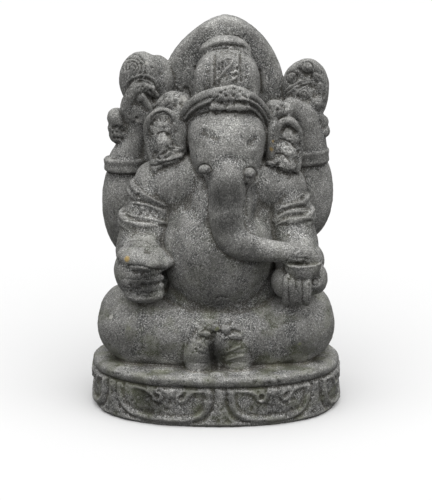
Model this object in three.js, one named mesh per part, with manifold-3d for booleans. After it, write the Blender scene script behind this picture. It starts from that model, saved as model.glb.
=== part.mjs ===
// A seated elephant-headed figure on a lotus base, carved from one block of dark lava stone.
// Millimetres, +Z up. The origin is the centre of the base's underside, and the figure faces -Y.
// Every form is a three.js geometry, and all of them are joined into one closed solid.
// Left and right in the comments are the figure's own, so its right side is at -X.
import * as THREE from "three";
import { mergeVertices } from "three/addons/utils/BufferGeometryUtils.js";
import Module from "manifold-3d";

const wasm = await Module();
wasm.setup();

// The base
const BASE_HALF_WIDTH = 165;
const BASE_HALF_DEPTH = 125;
const BASE_TOP = 66;
const BASE_SQUARENESS = 2.4; // 2 is an ellipse, larger is squarer
const PETAL_GAPS = [5, 139, 266, 399, 535, 664, 794]; // along the wall from the middle of the front
const PETAL_TOP = 48;
const PETAL_BOTTOM = 5;
const PETAL_BORDER = 8.5; // width of the raised edge of a petal
const PETAL_STEP = 3.5; // width of the slope inside that edge
const PETAL_RELIEF = 6;

// The figure
const HEIGHT = 500;
const KNEE_X = 108;
const LEG_RADIUS = 46;
const LAP_TOP = 153;
const FOOT_MIDDLE = 3;
const FOOT_X = 24; // from the line between the feet
const TOE_PITCH = 7;
const TOES = 4;
const HEAD_X = 14; // the head leans to the figure's left
const TUSK_RADIUS = 6;
const ARMLET_RADIUS = 34.5;
const FINGERS = 4;
const FINGER_PITCH = 9.6;
const CROWN_RIBS = 9;
const PLATE_FRONT = 30;
const PLATE_BACK = 66;
const PLATE_BEVEL = 6;
const PLATE_FOOT = 130;

const STONE = new THREE.MeshStandardMaterial({ color: 0x60605c, roughness: 0.92, metalness: 0 });

const TURN = Math.PI / 180;
const UP = new THREE.Vector3(0, 0, 1);
const FRONT = new THREE.Vector3(0, -1, 0);
const SIDES = [-1, 1];

// A closed geometry as a solid, with its shared vertices merged and its faces pointing out.
function solidOf(geometry) {
  const bare = new THREE.BufferGeometry();
  bare.setAttribute("position", geometry.getAttribute("position"));
  if (geometry.index) bare.setIndex(geometry.index);
  const merged = mergeVertices(bare, 1e-4);
  const corners = merged.index.array;
  const outward = [];
  const inward = [];
  for (let i = 0; i < corners.length; i += 3) {
    const [a, b, c] = corners.slice(i, i + 3);
    if (a === b || b === c || c === a) continue;
    outward.push(a, b, c);
    inward.push(a, c, b);
  }
  const vertProperties = new Float32Array(merged.getAttribute("position").array);
  const build = (faces) =>
    new wasm.Manifold(new wasm.Mesh({ numProp: 3, vertProperties, triVerts: new Uint32Array(faces) }));
  const made = build(outward);
  return made.volume() > 0 ? made : build(inward);
}

const join = (solids) => solids.reduce((whole, next) => whole.add(next));

const turnOf = (degrees) =>
  new THREE.Matrix4().makeRotationFromEuler(new THREE.Euler(...degrees.map((angle) => angle * TURN)));

// An ellipsoid with its poles along Z, turned about X, Y and Z in degrees.
function ball(at, radii, { turn = [0, 0, 0], around = 10, rings = 7 } = {}) {
  const shape = new THREE.SphereGeometry(1, around, rings);
  shape.rotateX(90 * TURN);
  shape.scale(...radii);
  shape.applyMatrix4(turnOf(turn));
  shape.translate(...at);
  return solidOf(shape);
}

// A lathe with round ends, bent along a smooth line through the points. Each point has its own
// radius, flat squashes the section across the way that it faces at its start, and caps is the
// number of steps in each round end.
function limb(points, radii, { sides = 8, steps = 3, flat = 1, caps = 2 } = {}) {
  const line = new THREE.CatmullRomCurve3(points.map((point) => new THREE.Vector3(...point)));
  const girth = new THREE.CatmullRomCurve3(radii.map((radius) => new THREE.Vector3(radius, 0, 0)));
  const rounding = [];
  for (let i = 0; i < caps; i++) rounding.push(Math.cos((i / caps) * 90 * TURN));
  const stations = rounding.map((cap) => ({ t: 0, cap: -cap }));
  for (let i = 0; i <= steps; i++) stations.push({ t: i / steps, cap: 0 });
  rounding.reverse().forEach((cap) => stations.push({ t: 1, cap }));

  const faces = Math.abs(line.getTangent(0).y) > 0.8 ? UP.clone() : FRONT.clone();
  for (const station of stations) {
    station.tangent = line.getTangent(station.t);
    faces.addScaledVector(station.tangent, -faces.dot(station.tangent)).normalize();
    station.faces = faces.clone();
    station.across = new THREE.Vector3().crossVectors(station.tangent, faces);
  }
  const profile = stations.map(({ cap }, row) => new THREE.Vector2(Math.sqrt(1 - cap * cap), row));
  const shape = new THREE.LatheGeometry(profile, sides);
  const position = shape.getAttribute("position");
  for (let i = 0; i < position.count; i++) {
    const station = stations[Math.round(position.getY(i))];
    const radius = girth.getPoint(station.t).x;
    const place = line.getPoint(station.t);
    place.addScaledVector(station.tangent, station.cap * radius);
    place.addScaledVector(station.across, position.getX(i) * radius);
    place.addScaledVector(station.faces, position.getZ(i) * radius * flat);
    position.setXYZ(i, place.x, place.y, place.z);
  }
  return solidOf(shape);
}

// A turned form on a vertical axis, from a profile of [radius, height], stretched along X and Y.
function turned(at, profile, { stretch = [1, 1], turn = [0, 0, 0], sides = 10 } = {}) {
  const shape = new THREE.LatheGeometry(
    profile.map(([radius, height]) => new THREE.Vector2(radius, height)),
    sides,
  );
  shape.rotateX(90 * TURN);
  shape.scale(stretch[0], stretch[1], 1);
  shape.applyMatrix4(turnOf(turn));
  shape.translate(...at);
  return solidOf(shape);
}

// The base's plan: a squarish oval, with the distance along its edge worked out once.
const PLAN_STEPS = 720;
const planPoint = (angle) => {
  const [c, s] = [Math.cos(angle), Math.sin(angle)];
  const swell = (Math.abs(c) ** BASE_SQUARENESS + Math.abs(s) ** BASE_SQUARENESS) ** (-1 / BASE_SQUARENESS);
  return new THREE.Vector2(BASE_HALF_WIDTH * swell * s, -BASE_HALF_DEPTH * swell * c);
};
const planLengths = [0];
for (let i = 1; i <= PLAN_STEPS; i++) {
  const from = planPoint(((i - 1) / PLAN_STEPS) * 360 * TURN);
  const to = planPoint((i / PLAN_STEPS) * 360 * TURN);
  planLengths.push(planLengths[i - 1] + from.distanceTo(to));
}
const PLAN_LENGTH = planLengths[PLAN_STEPS];

// The angle at which the plan's edge has run a length from the middle of the front.
function planAngle(length) {
  const run = length % PLAN_LENGTH;
  let i = 1;
  while (planLengths[i] < run && i < PLAN_STEPS) i++;
  const share = (run - planLengths[i - 1]) / (planLengths[i] - planLengths[i - 1]);
  return ((i - 1 + share) / PLAN_STEPS) * 360 * TURN;
}

// The columns of faces across a petal, from the gap before it.
const PETAL_COLUMNS = [
  { side: -1, carries: "gap" },
  { side: -1, carries: "edge" },
  { side: -1, carries: "border" },
  { side: -1, carries: "field" },
  { side: 0, carries: "lobe" },
  { side: 1, carries: "field" },
  { side: 1, carries: "border" },
  { side: 1, carries: "edge" },
];

// The rows of the base's wall, from the underside up to the top.
const BASE_ROWS = [
  { height: 0, inset: 6 },
  { height: PETAL_BOTTOM, inset: 3 },
  { height: PETAL_BOTTOM + PETAL_BORDER, inset: PETAL_RELIEF },
  { height: PETAL_BOTTOM + PETAL_BORDER + PETAL_STEP, inset: PETAL_RELIEF },
  { height: PETAL_TOP, inset: PETAL_RELIEF },
  { height: 51.5, inset: 8 },
  { height: 55, inset: 1 },
  { height: 62, inset: 1 },
  { height: BASE_TOP, inset: 7 },
];

// Where a petal's column runs at a height, from the petal's middle: the sides close in below.
function petalPlace(column, height, width) {
  const drop = THREE.MathUtils.clamp((PETAL_TOP - height) / (PETAL_TOP - PETAL_BOTTOM), 0, 0.9);
  const half = (width / 2 - 9) * (1 - drop ** 3) ** 0.4;
  if (column.carries === "gap") return -width / 2;
  if (column.carries === "edge") return column.side * half;
  if (column.carries === "border") return column.side * (half - PETAL_BORDER);
  return column.side * (half - PETAL_BORDER - PETAL_STEP);
}

// How far a petal's column stands out of the wall at a height.
function petalRelief(column, height) {
  if (column.carries === "gap" || height < PETAL_BOTTOM || height > PETAL_TOP) return 0;
  if (column.carries === "edge" || column.carries === "border") return PETAL_RELIEF;
  if (height <= PETAL_BOTTOM + PETAL_BORDER) return PETAL_RELIEF;
  if (height <= PETAL_BOTTOM + PETAL_BORDER + PETAL_STEP) return 0;
  if (column.carries === "lobe") return PETAL_RELIEF * 0.9;
  return 0;
}

// The base: a drum on the plan, with a round rim, a groove under it and the petals below that.
function lotusBase() {
  const rows = BASE_ROWS.length + 2;
  const profile = [new THREE.Vector2(0, 0)];
  BASE_ROWS.forEach((_, row) => profile.push(new THREE.Vector2(1, row + 1)));
  profile.push(new THREE.Vector2(0, rows - 1));
  const columns = PETAL_GAPS.length * PETAL_COLUMNS.length;
  const shape = new THREE.LatheGeometry(profile, columns);
  const position = shape.getAttribute("position");
  for (let i = 0; i < position.count; i++) {
    const row = i % rows;
    if (row === 0 || row === rows - 1) {
      position.setXYZ(i, 0, 0, row === 0 ? 0 : BASE_TOP);
      continue;
    }
    const { height, inset } = BASE_ROWS[row - 1];
    const place = Math.floor(i / rows) % columns;
    const petal = Math.floor(place / PETAL_COLUMNS.length);
    const column = PETAL_COLUMNS[place % PETAL_COLUMNS.length];
    const before = PETAL_GAPS[petal];
    const after = PETAL_GAPS[petal + 1] ?? PETAL_GAPS[0] + PLAN_LENGTH;
    const length = (before + after) / 2 + petalPlace(column, height, after - before);
    const edge = planPoint(planAngle(length));
    const out = edge.clone().normalize();
    edge.addScaledVector(out, Math.min(petalRelief(column, height) - inset, 0));
    position.setXYZ(i, edge.x, edge.y, height);
  }
  return solidOf(shape);
}

// The folded legs under the cloth of the lap, with the two soles upright side by side in front.
function legs() {
  const forms = [
    ball([0, -48, 106], [84, 58, LAP_TOP - 106], { rings: 6 }),
    limb([[-104, -50, 93], [0, -62, 93], [104, -50, 93]], [31, 33, 31], { sides: 7, steps: 2, caps: 1 }),
  ];
  for (const side of SIDES) {
    const knee = side * KNEE_X;
    const foot = FOOT_MIDDLE + side * FOOT_X;
    const thigh = [[side * 44, 10, 114], [knee, -32, 117]];
    const shin = [[knee - side * 3, -38, 112], [side * 30, -60, 105]];
    forms.push(limb(thigh, [46, LEG_RADIUS], { sides: 10, steps: 1 }));
    forms.push(limb(shin, [LEG_RADIUS, 39], { sides: 12, steps: 1 }));
    const sole = [[foot, -82, 74], [foot, -91, 96], [foot - side * 3, -94, 112]];
    forms.push(limb(sole, [18, 20, 14], { sides: 7, steps: 2 }));
    for (let toe = 0; toe < TOES; toe++) {
      const x = FOOT_MIDDLE + side * (5 + toe * TOE_PITCH);
      forms.push(ball([x, -101 + toe, 124 - toe * 3], [4.4, 7, 6], { around: 4, rings: 3 }));
    }
    const hem = [[9 + side * 36, -91, 139], [5 + side * 41, -96, 110], [4 + side * 43, -90, 78]];
    forms.push(limb(hem, [5, 6, 5], { sides: 4, steps: 2, caps: 1 }));
  }
  return forms;
}

// The round belly, which hangs over the lap, the chest and the shoulders.
function torso() {
  const chest = [[3, -12, 140], [5, -17, 230], [8, -12, 292]];
  return [
    ball([3, -38, 208], [73, 71, 80], { around: 14, rings: 9 }),
    limb(chest, [84, 77, 60], { sides: 10, steps: 2, flat: 0.86, caps: 1 }),
    limb([[-72, -8, 288], [8, -22, 292], [86, -8, 282]], [34, 46, 34], { sides: 9 }),
  ];
}

// A front arm: shoulder to elbow to wrist, with an armlet that stands out all round.
function frontArm({ shoulder, elbow, wrist, armlet, turn }) {
  const radius = ARMLET_RADIUS;
  const profile = [[0, -12], [radius - 2, -12], [radius, -4], [radius - 3, 12], [0, 12]];
  return [
    limb([shoulder, elbow], [29, 34], { sides: 9, steps: 1 }),
    limb([elbow, wrist], [34, 26], { sides: 8, steps: 1 }),
    turned(armlet, profile, { turn }),
  ];
}

// The figure's right hand: a fist on the thigh round the stump of a tusk.
function fist() {
  const forms = [
    ball([-89, -75, 211], [36, 36, 15], { around: 9, rings: 6 }),
    ball([-94, -73, 187], [28, 28, 32], { around: 7, rings: 5 }),
    turned([-84, -88, 217], [[0, 0], [10, 0], [9, 6], [0, 7]], { stretch: [1, 1.2], sides: 6 }),
    ball([-88, -84, 162], [21, 20, 12], { around: 7, rings: 4 }),
  ];
  for (let finger = 0; finger < FINGERS - 1; finger++) {
    const z = 194 - finger * FINGER_PITCH;
    const line = [[-112, -88, z], [-91, -104, z - 1], [-68, -94, z - 2]];
    forms.push(limb(line, [5, 5.5, 4.5], { sides: 4, steps: 2, caps: 1 }));
  }
  return forms;
}

// The figure's left hand, with its fingers bent up in front, and the bowl that it holds.
function bowlHand() {
  const palm = [
    ball([101, -78, 178], [31, 30, 24], { around: 7, rings: 5 }),
    ball([127, -86, 180], [12, 18, 14], { around: 6, rings: 4 }),
  ];
  for (let finger = 0; finger < FINGERS; finger++) {
    const x = 85.5 + finger * FINGER_PITCH;
    const line = [[x + 1, -98, 160], [x, -110, 173], [x, -106, 188]];
    palm.push(limb(line, [5.4, 5.6, 5], { sides: 4, steps: 2 }));
  }
  const outside = [[0, 0], [16, 0], [23, 10], [26, 18], [26, 24], [0, 24]];
  const inside = [[0, 0], [14, 0], [20, 10], [0, 10]];
  const cup = turned([108, -93, 185], outside, { stretch: [1, 0.95] });
  const hollow = turned([109, -94, 202], inside, { stretch: [1, 0.95], sides: 9 });
  return { palm, cup: cup.subtract(hollow) };
}

// The head: skull, brow, cheeks, and the trunk that swings across to the bowl.
const TRUNK_LINE = [
  [15, -50, 337], [14, -72, 312], [13, -88, 287], [14, -96, 259],
  [27, -99, 235], [52, -100, 227], [80, -101, 223], [109, -97, 218],
];
const TRUNK_GIRTH = [31, 26, 22, 21, 19, 16, 13.5, 10.5];
const FACE_LINE = [[13, -42, 356], [14, -55, 332], [15, -66, 315], [15, -80, 299]];
const FACE_GIRTH = [49, 45, 35, 23];

function head() {
  const forms = [
    ball([HEAD_X - 1, -24, 360], [50, 50, 46], { around: 12 }),
    limb(FACE_LINE, FACE_GIRTH, { sides: 10, steps: 4, flat: 0.74 }),
    limb(TRUNK_LINE, TRUNK_GIRTH, { sides: 9, steps: 9 }),
  ];
  for (const side of SIDES) {
    const tusk = HEAD_X + side * 28;
    const drop = side < 0 ? 0 : 4;
    const stump = [[tusk, -66, 330 - drop], [tusk, -96, 325 - drop]];
    forms.push(limb(stump, [TUSK_RADIUS, TUSK_RADIUS], { sides: 5, steps: 1 }));
  }
  return forms;
}

// The eyes are cut in as shallow hollows under the brow.
const eyeHollows = () =>
  [[-9, -80, 366], [43, -79, 361]].map((at) => ball(at, [9, 9, 4.5], { around: 6, rings: 4 }));

// The diadem: a thick band over the brow from temple to temple, with a rosette in its middle.
function diadem() {
  const line = [
    [-41, -20, 368], [-31, -38, 391], [-8, -55, 407], [16, -61, 412], [38, -56, 407], [57, -38, 387],
    [67, -18, 364],
  ];
  const forms = [limb(line, [11, 13, 16, 17, 16, 13, 11], { sides: 5, steps: 7, flat: 0.7, caps: 1 })];
  for (const [x, z, size] of [[20, 419, 8], [4, 412, 7], [36, 411, 7]]) {
    forms.push(ball([x, -66, z], [size, 7, size], { around: 5, rings: 4 }));
  }
  return forms;
}

// The piled-up hair of the crown: a dome with upright ribs, the mass that ties it to the plate, and
// the crescent that hoods it.
function crown() {
  const profile = [[0, 0], [41, 0], [43, 32], [41, 50], [32, 66], [0, 74]];
  const ribs = CROWN_RIBS * 2;
  const shape = new THREE.LatheGeometry(
    profile.map(([radius, height]) => new THREE.Vector2(radius, height)),
    ribs,
  );
  const position = shape.getAttribute("position");
  for (let i = 0; i < position.count; i++) {
    const column = Math.floor(i / profile.length) % ribs;
    const swell = column % 2 ? 0.93 : 1.02;
    position.setXYZ(i, position.getX(i) * swell, position.getY(i), position.getZ(i) * swell * 0.84);
  }
  shape.rotateX(90 * TURN);
  shape.translate(HEAD_X - 0.5, -10, 386);
  const hood = [[-19, 8, 456], [-4, 3, 467], [14, 1, 470], [32, 3, 467], [43, 8, 457]];
  const nape = ball([HEAD_X, 18, 444], [34, 24, 24], { around: 8, rings: 5 });
  return [solidOf(shape), nape, limb(hood, [4.5, 6, 6.5, 6, 4.5], { sides: 6, steps: 5, flat: 3.2, caps: 1 })];
}

// The pointed plate behind the head, which runs down the figure's back.
function plate() {
  const outline = new THREE.Shape();
  outline.moveTo(-74, PLATE_FOOT);
  outline.lineTo(-75, 395);
  outline.bezierCurveTo(-75, 434, -41, 489, HEAD_X - 2, HEIGHT);
  outline.bezierCurveTo(64, 491, 91, 434, 91, 395);
  outline.lineTo(86, PLATE_FOOT);
  outline.closePath();
  const shape = new THREE.ExtrudeGeometry(outline, {
    depth: PLATE_BACK - PLATE_FRONT - 2 * PLATE_BEVEL,
    bevelThickness: PLATE_BEVEL,
    bevelSize: PLATE_BEVEL,
    bevelOffset: -PLATE_BEVEL,
    bevelSegments: 1,
    curveSegments: 8,
  });
  shape.rotateX(90 * TURN);
  shape.translate(0, PLATE_BACK - PLATE_BEVEL, 0);
  return solidOf(shape);
}

// One ear: a hanging leaf with a rolled rim, and folds that cross it.
function ear(rim, leaf, folds) {
  const forms = [
    limb(rim, rim.map(() => 7.5), { sides: 4, steps: 7, caps: 1 }),
    ball(leaf.at, leaf.radii, { turn: leaf.turn, around: 8, rings: 6 }),
  ];
  for (const fold of folds) forms.push(ball(fold.at, fold.radii, { turn: fold.turn, around: 5, rings: 4 }));
  return forms;
}

function ears() {
  const rightRim = [
    [-48, -32, 362], [-54, -36, 382], [-68, -36, 389], [-83, -30, 378], [-90, -25, 356], [-87, -23, 328],
    [-77, -27, 304],
  ];
  const leftRim = [
    [78, -33, 350], [79, -36, 367], [90, -36, 377], [104, -30, 368], [110, -25, 346], [108, -23, 320],
    [101, -27, 296],
  ];
  const rightFolds = [
    { at: [-62, -33, 350], radii: [12, 9, 24], turn: [0, 14, 0] },
    { at: [-62, -36, 316], radii: [20, 9, 9], turn: [0, -24, 0] },
  ];
  const leftFolds = [0, 1, 2].map((fold) => ({
    at: [91 + fold * 3.5, -32, 352 - fold * 21],
    radii: [14, 10, 13],
    turn: [0, 28, 0],
  }));
  return [
    ...ear(rightRim, { at: [-66, -18, 342], radii: [27, 18, 50], turn: [0, -6, 0] }, rightFolds),
    ...ear(leftRim, { at: [90, -16, 334], radii: [25, 18, 50], turn: [0, 4, 0] }, leftFolds),
  ];
}

// A raised hand at the back: the bent arm, its bracelet and the tapering forearm above it.
function rearArm({ side, rise, hand, wrist }) {
  const bracelet = [[0, 0], [25, 0], [29, 6], [28, 16], [0, 16]];
  return [
    ball([side * 117, 34, 256 + rise], [35, 32, 66], { turn: [0, side * -2, 0], around: 8 }),
    turned([side * 120, 30, 300 + rise], bracelet, { stretch: [1, 0.95], sides: 8 }),
    limb([[side * 117, 28, 312 + rise], [side * hand, 24, 372 + rise]], [23, wrist], { sides: 7, steps: 1 }),
  ];
}

// What the raised right hand holds: a tuft over the bent fingers, with a tassel beside it.
function tuft() {
  const fingers = [[-118, 12, 374], [-113, 6, 400], [-98, 4, 418], [-80, 10, 410]];
  return [
    ball([-95, 30, 419], [32, 26, 34], { around: 9, rings: 6 }),
    ball([-74, 38, 410], [24, 20, 36], { around: 6, rings: 5 }),
    limb(fingers, [7, 8, 8, 7], { sides: 4, caps: 1 }),
    limb([[-92, 8, 364], [-97, 4, 392]], [11, 7], { sides: 4, steps: 1 }),
    ball([-127, 24, 374], [14, 14, 14], { around: 6, rings: 4 }),
    ball([-124, 24, 352], [13, 12, 15], { around: 6, rings: 4 }),
  ];
}

// What the raised left hand holds: a hooked form with two rosettes, fingers across it and buds.
function hook() {
  const curve = [
    [100, 30, 414], [108, 26, 432], [123, 24, 433], [134, 26, 416], [137, 28, 394], [128, 30, 376],
  ];
  const forms = [
    limb(curve, [14, 14, 13, 13, 12, 9], { sides: 6, steps: 5 }),
    ball([110, 34, 400], [31, 20, 34], { around: 7, rings: 4 }),
    limb([[92, 12, 389], [122, 8, 412]], [12, 9], { sides: 5, steps: 1 }),
  ];
  for (const [x, z, size] of [[118, 434, 9], [96, 419, 9], [129, 388, 10], [114, 379, 9]]) {
    forms.push(ball([x, 13, z], [size, 11, size], { around: 5, rings: 4 }));
  }
  for (const [x, z] of [[132, 367], [138, 355]]) {
    forms.push(ball([x, 20, z], [11, 11, 11], { around: 5, rings: 4 }));
  }
  return forms;
}

// The plain back: a broad mass that ties the hips, shoulders, raised arms and plate together.
function back() {
  const forms = [
    ball([0, 42, 112], [112, 60, 72], { rings: 6 }),
    limb([[0, 34, 140], [4, 38, 300]], [86, 72], { sides: 8, steps: 1, flat: 0.5 }),
  ];
  for (const side of SIDES) {
    forms.push(limb([[side * 90, 40, 206], [side * 86, 42, 372]], [38, 26], { sides: 6, steps: 1, caps: 1 }));
  }
  return forms;
}

const rightArm = {
  shoulder: [-78, -10, 292],
  elbow: [-96, -32, 208],
  wrist: [-92, -66, 205],
  armlet: [-87, -22, 261],
  turn: [14, -14, 0],
};
const leftArm = {
  shoulder: [85, -10, 286],
  elbow: [98, -30, 211],
  wrist: [104, -69, 196],
  armlet: [92, -21, 259],
  turn: [14, 10, 0],
};
const { palm, cup } = bowlHand();
const figure = join([
  ...legs(),
  ...torso(),
  ...frontArm(rightArm),
  ...frontArm(leftArm),
  ...fist(),
  ...palm,
  ...head(),
  ...diadem(),
  ...crown(),
  plate(),
  ...ears(),
  ...rearArm({ side: -1, rise: 0, hand: 103, wrist: 14 }),
  ...rearArm({ side: 1, rise: 10, hand: 116, wrist: 19 }),
  ...tuft(),
  ...hook(),
  ...back(),
]);
const carved = eyeHollows().reduce((stone, hollow) => stone.subtract(hollow), figure);
const whole = lotusBase().add(carved).add(cup);

// The joined solid as a three.js mesh.
function meshOf(solid, name, material) {
  const { numProp, numVert, vertProperties, triVerts } = solid.getMesh();
  const places = new Float32Array(numVert * 3);
  for (let i = 0; i < numVert; i++) places.set(vertProperties.subarray(i * numProp, i * numProp + 3), i * 3);
  const shape = new THREE.BufferGeometry();
  shape.setAttribute("position", new THREE.BufferAttribute(places, 3));
  shape.setIndex(new THREE.BufferAttribute(triVerts, 1));
  shape.computeVertexNormals();
  const mesh = new THREE.Mesh(shape, material);
  mesh.name = name;
  return mesh;
}

const sculpture = new THREE.Group();
sculpture.add(meshOf(whole, "seated_figure_on_lotus_base", STONE));

export default sculpture;
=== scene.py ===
"""A seated elephant-headed figure on a lotus base, carved from one block of dark lava stone.

The classes hold their sizes in millimetres and build in metres. The figure faces -Y, so its own
right hand is at -X. The big forms are modelled and fused into one stone, then fine carving is
cut into it along lines that are placed by pixels of the 432 x 500 photograph, through the same
camera that makes the render, and then the stone is weathered.
"""
import logging
import math
from collections.abc import Sequence
from dataclasses import dataclass, fields
from enum import Enum
from typing import Protocol

import bpy
import numpy as np
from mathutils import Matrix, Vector
from mathutils.bvhtree import BVHTree
from mathutils.kdtree import KDTree


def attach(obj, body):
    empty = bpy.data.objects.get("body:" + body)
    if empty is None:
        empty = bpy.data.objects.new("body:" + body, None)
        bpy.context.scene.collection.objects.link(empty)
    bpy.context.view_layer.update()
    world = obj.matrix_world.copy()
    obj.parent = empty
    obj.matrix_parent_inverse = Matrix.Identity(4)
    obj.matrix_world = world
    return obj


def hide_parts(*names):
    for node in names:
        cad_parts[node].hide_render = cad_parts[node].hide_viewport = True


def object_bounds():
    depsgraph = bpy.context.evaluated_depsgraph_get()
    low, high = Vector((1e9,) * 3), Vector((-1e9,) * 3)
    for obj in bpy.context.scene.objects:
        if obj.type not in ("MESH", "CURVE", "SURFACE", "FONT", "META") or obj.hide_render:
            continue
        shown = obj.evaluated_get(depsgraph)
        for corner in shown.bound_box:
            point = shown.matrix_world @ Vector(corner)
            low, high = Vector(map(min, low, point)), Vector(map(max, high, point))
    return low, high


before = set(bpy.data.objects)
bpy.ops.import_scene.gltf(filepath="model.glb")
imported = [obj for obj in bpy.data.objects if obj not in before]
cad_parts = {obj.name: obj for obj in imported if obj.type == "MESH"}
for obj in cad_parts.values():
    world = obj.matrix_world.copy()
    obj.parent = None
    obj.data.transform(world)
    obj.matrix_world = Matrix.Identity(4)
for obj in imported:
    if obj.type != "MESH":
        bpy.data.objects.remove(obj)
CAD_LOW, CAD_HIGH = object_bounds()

Triple = tuple[float, float, float]
Pair = tuple[float, float]
Line = tuple[Pair, ...]
Path = tuple[Triple, ...]
Colour = tuple[float, float, float, float]
Stain = tuple[Pair, float, float]
Piece = bpy.types.Object
Socket = bpy.types.NodeSocket
Value = Socket | float | tuple[float, ...]

NODE = "seated_figure_on_lotus_base"
MM = 0.001
SIDES = (-1, 1)
TOE_TILT = (20, 0, 0)
STUMP = (147.5, 251.5)
ROSETTES = ((307.4, 67.5), (291.8, 78))
LOOPS = ((138.6, 195.6), (302.4, 198))
COARSE = 1.0
FORM_VOXEL = 2.0 * COARSE
STONE_VOXEL = 1.25 * COARSE
DOUBLES = 0.01
TRIANGLE_LIMIT = 196_000

log = logging.getLogger("stone")


class Edge(Enum):
    """How steeply a carved stroke meets the stone beside it."""

    SOFT = 2.0
    CRISP = 1.0


def read_points(mesh: bpy.types.Mesh, value: str = "co") -> np.ndarray:
    """Reads three numbers for each point of a mesh, which are its place unless told otherwise.

    Args:
        mesh: the mesh.
        value: which value of its points is read.

    Returns:
        One row for each point.
    """
    flat = np.empty(len(mesh.vertices) * 3, np.float32)
    mesh.vertices.foreach_get(value, flat)
    return flat.reshape(-1, 3).astype(float)


def write_points(mesh: bpy.types.Mesh, points: np.ndarray) -> None:
    """Moves a mesh's points to these places."""
    mesh.vertices.foreach_set("co", points.astype(np.float32).ravel())
    mesh.update()


def in_metres(place: Triple) -> list[float]:
    """A place or size in millimetres as metres."""
    return [value * MM for value in place]


def in_radians(turn: Triple) -> list[float]:
    """A turn in degrees as radians."""
    return [math.radians(angle) for angle in turn]


def only(*pieces: Piece) -> None:
    """Selects these pieces alone and makes the first one active.

    Args:
        pieces: the pieces.
    """
    bpy.ops.object.select_all(action="DESELECT")
    for piece in pieces:
        piece.select_set(True)
    bpy.context.view_layer.objects.active = pieces[0]


def change(piece: Piece, kind: str, **settings: object) -> None:
    """Adds a modifier to a piece and applies it.

    Args:
        piece: the piece that changes.
        kind: Blender's name for the modifier.
        settings: the modifier's own values.
    """
    only(piece)
    modifier = piece.modifiers.new(kind.title(), kind)
    for name, value in settings.items():
        setattr(modifier, name, value)
    bpy.ops.object.modifier_apply(modifier=modifier.name)


def close_mesh() -> None:
    """Merges doubled points of the mesh being edited, turns its faces outwards and ends the edit."""
    bpy.ops.mesh.select_all(action="SELECT")
    bpy.ops.mesh.remove_doubles(threshold=DOUBLES * MM)
    bpy.ops.mesh.normals_make_consistent(inside=False)
    bpy.ops.object.mode_set(mode="OBJECT")


def fuse(pieces: Sequence[Piece], passes: int, voxel: float) -> Piece:
    """Joins overlapping pieces into one skin and softens the creases between them.

    Args:
        pieces: the overlapping pieces.
        passes: how often the skin is smoothed.
        voxel: the skin's mesh size in millimetres.

    Returns:
        The one piece that is left.
    """
    only(*pieces)
    if len(pieces) > 1:
        bpy.ops.object.join()
    whole = bpy.context.object
    change(whole, "REMESH", mode="VOXEL", voxel_size=voxel * MM, adaptivity=0)
    change(whole, "SMOOTH", factor=0.5, iterations=max(1, round(passes / COARSE**2)))
    return whole


def smooth_line(points: Sequence[Sequence[float]], shares: np.ndarray) -> np.ndarray:
    """Places along a smooth line that runs through the points.

    Args:
        points: the points, in any number of dimensions.
        shares: how far along the line each place is, from 0 to 1.

    Returns:
        One row for each share.
    """
    knots = np.array(points, float)
    padded = np.vstack([2 * knots[0] - knots[1], knots, 2 * knots[-1] - knots[-2]])
    place = np.clip(shares, 0, 1) * (len(knots) - 1)
    span = np.minimum(place.astype(int), len(knots) - 2)
    t = (place - span)[:, None]
    a, b, c, d = (padded[span + step] for step in range(4))
    curve = 2 * b + (c - a) * t + (2 * a - 5 * b + 4 * c - d) * t**2
    return 0.5 * (curve + (3 * b - a - 3 * c + d) * t**3)


def step_up(values: np.ndarray, low: float, high: float) -> np.ndarray:
    """A soft step, 0 below low and 1 above high."""
    share = np.clip((values - low) / (high - low), 0, 1)
    return share * share * (3 - 2 * share)


class Shape(Protocol):
    """Anything that is built as one piece."""

    def build(self) -> Piece:
        """Builds the piece."""


@dataclass(frozen=True)
class Ball:
    """An ellipsoid: its middle, its half sizes along X, Y and Z, and its turn in degrees."""

    at: Triple
    radii: Triple
    turn: Triple = (0, 0, 0)
    sides: int = 32
    rings: int = 20

    def build(self) -> Piece:
        """Adds a sphere at its size and place.

        Returns:
            The new piece.
        """
        bpy.ops.mesh.primitive_uv_sphere_add(
            segments=self.sides,
            ring_count=self.rings,
            radius=MM,
            location=in_metres(self.at),
            rotation=in_radians(self.turn),
            scale=self.radii,
        )
        bpy.ops.object.transform_apply()
        return bpy.context.object


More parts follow.
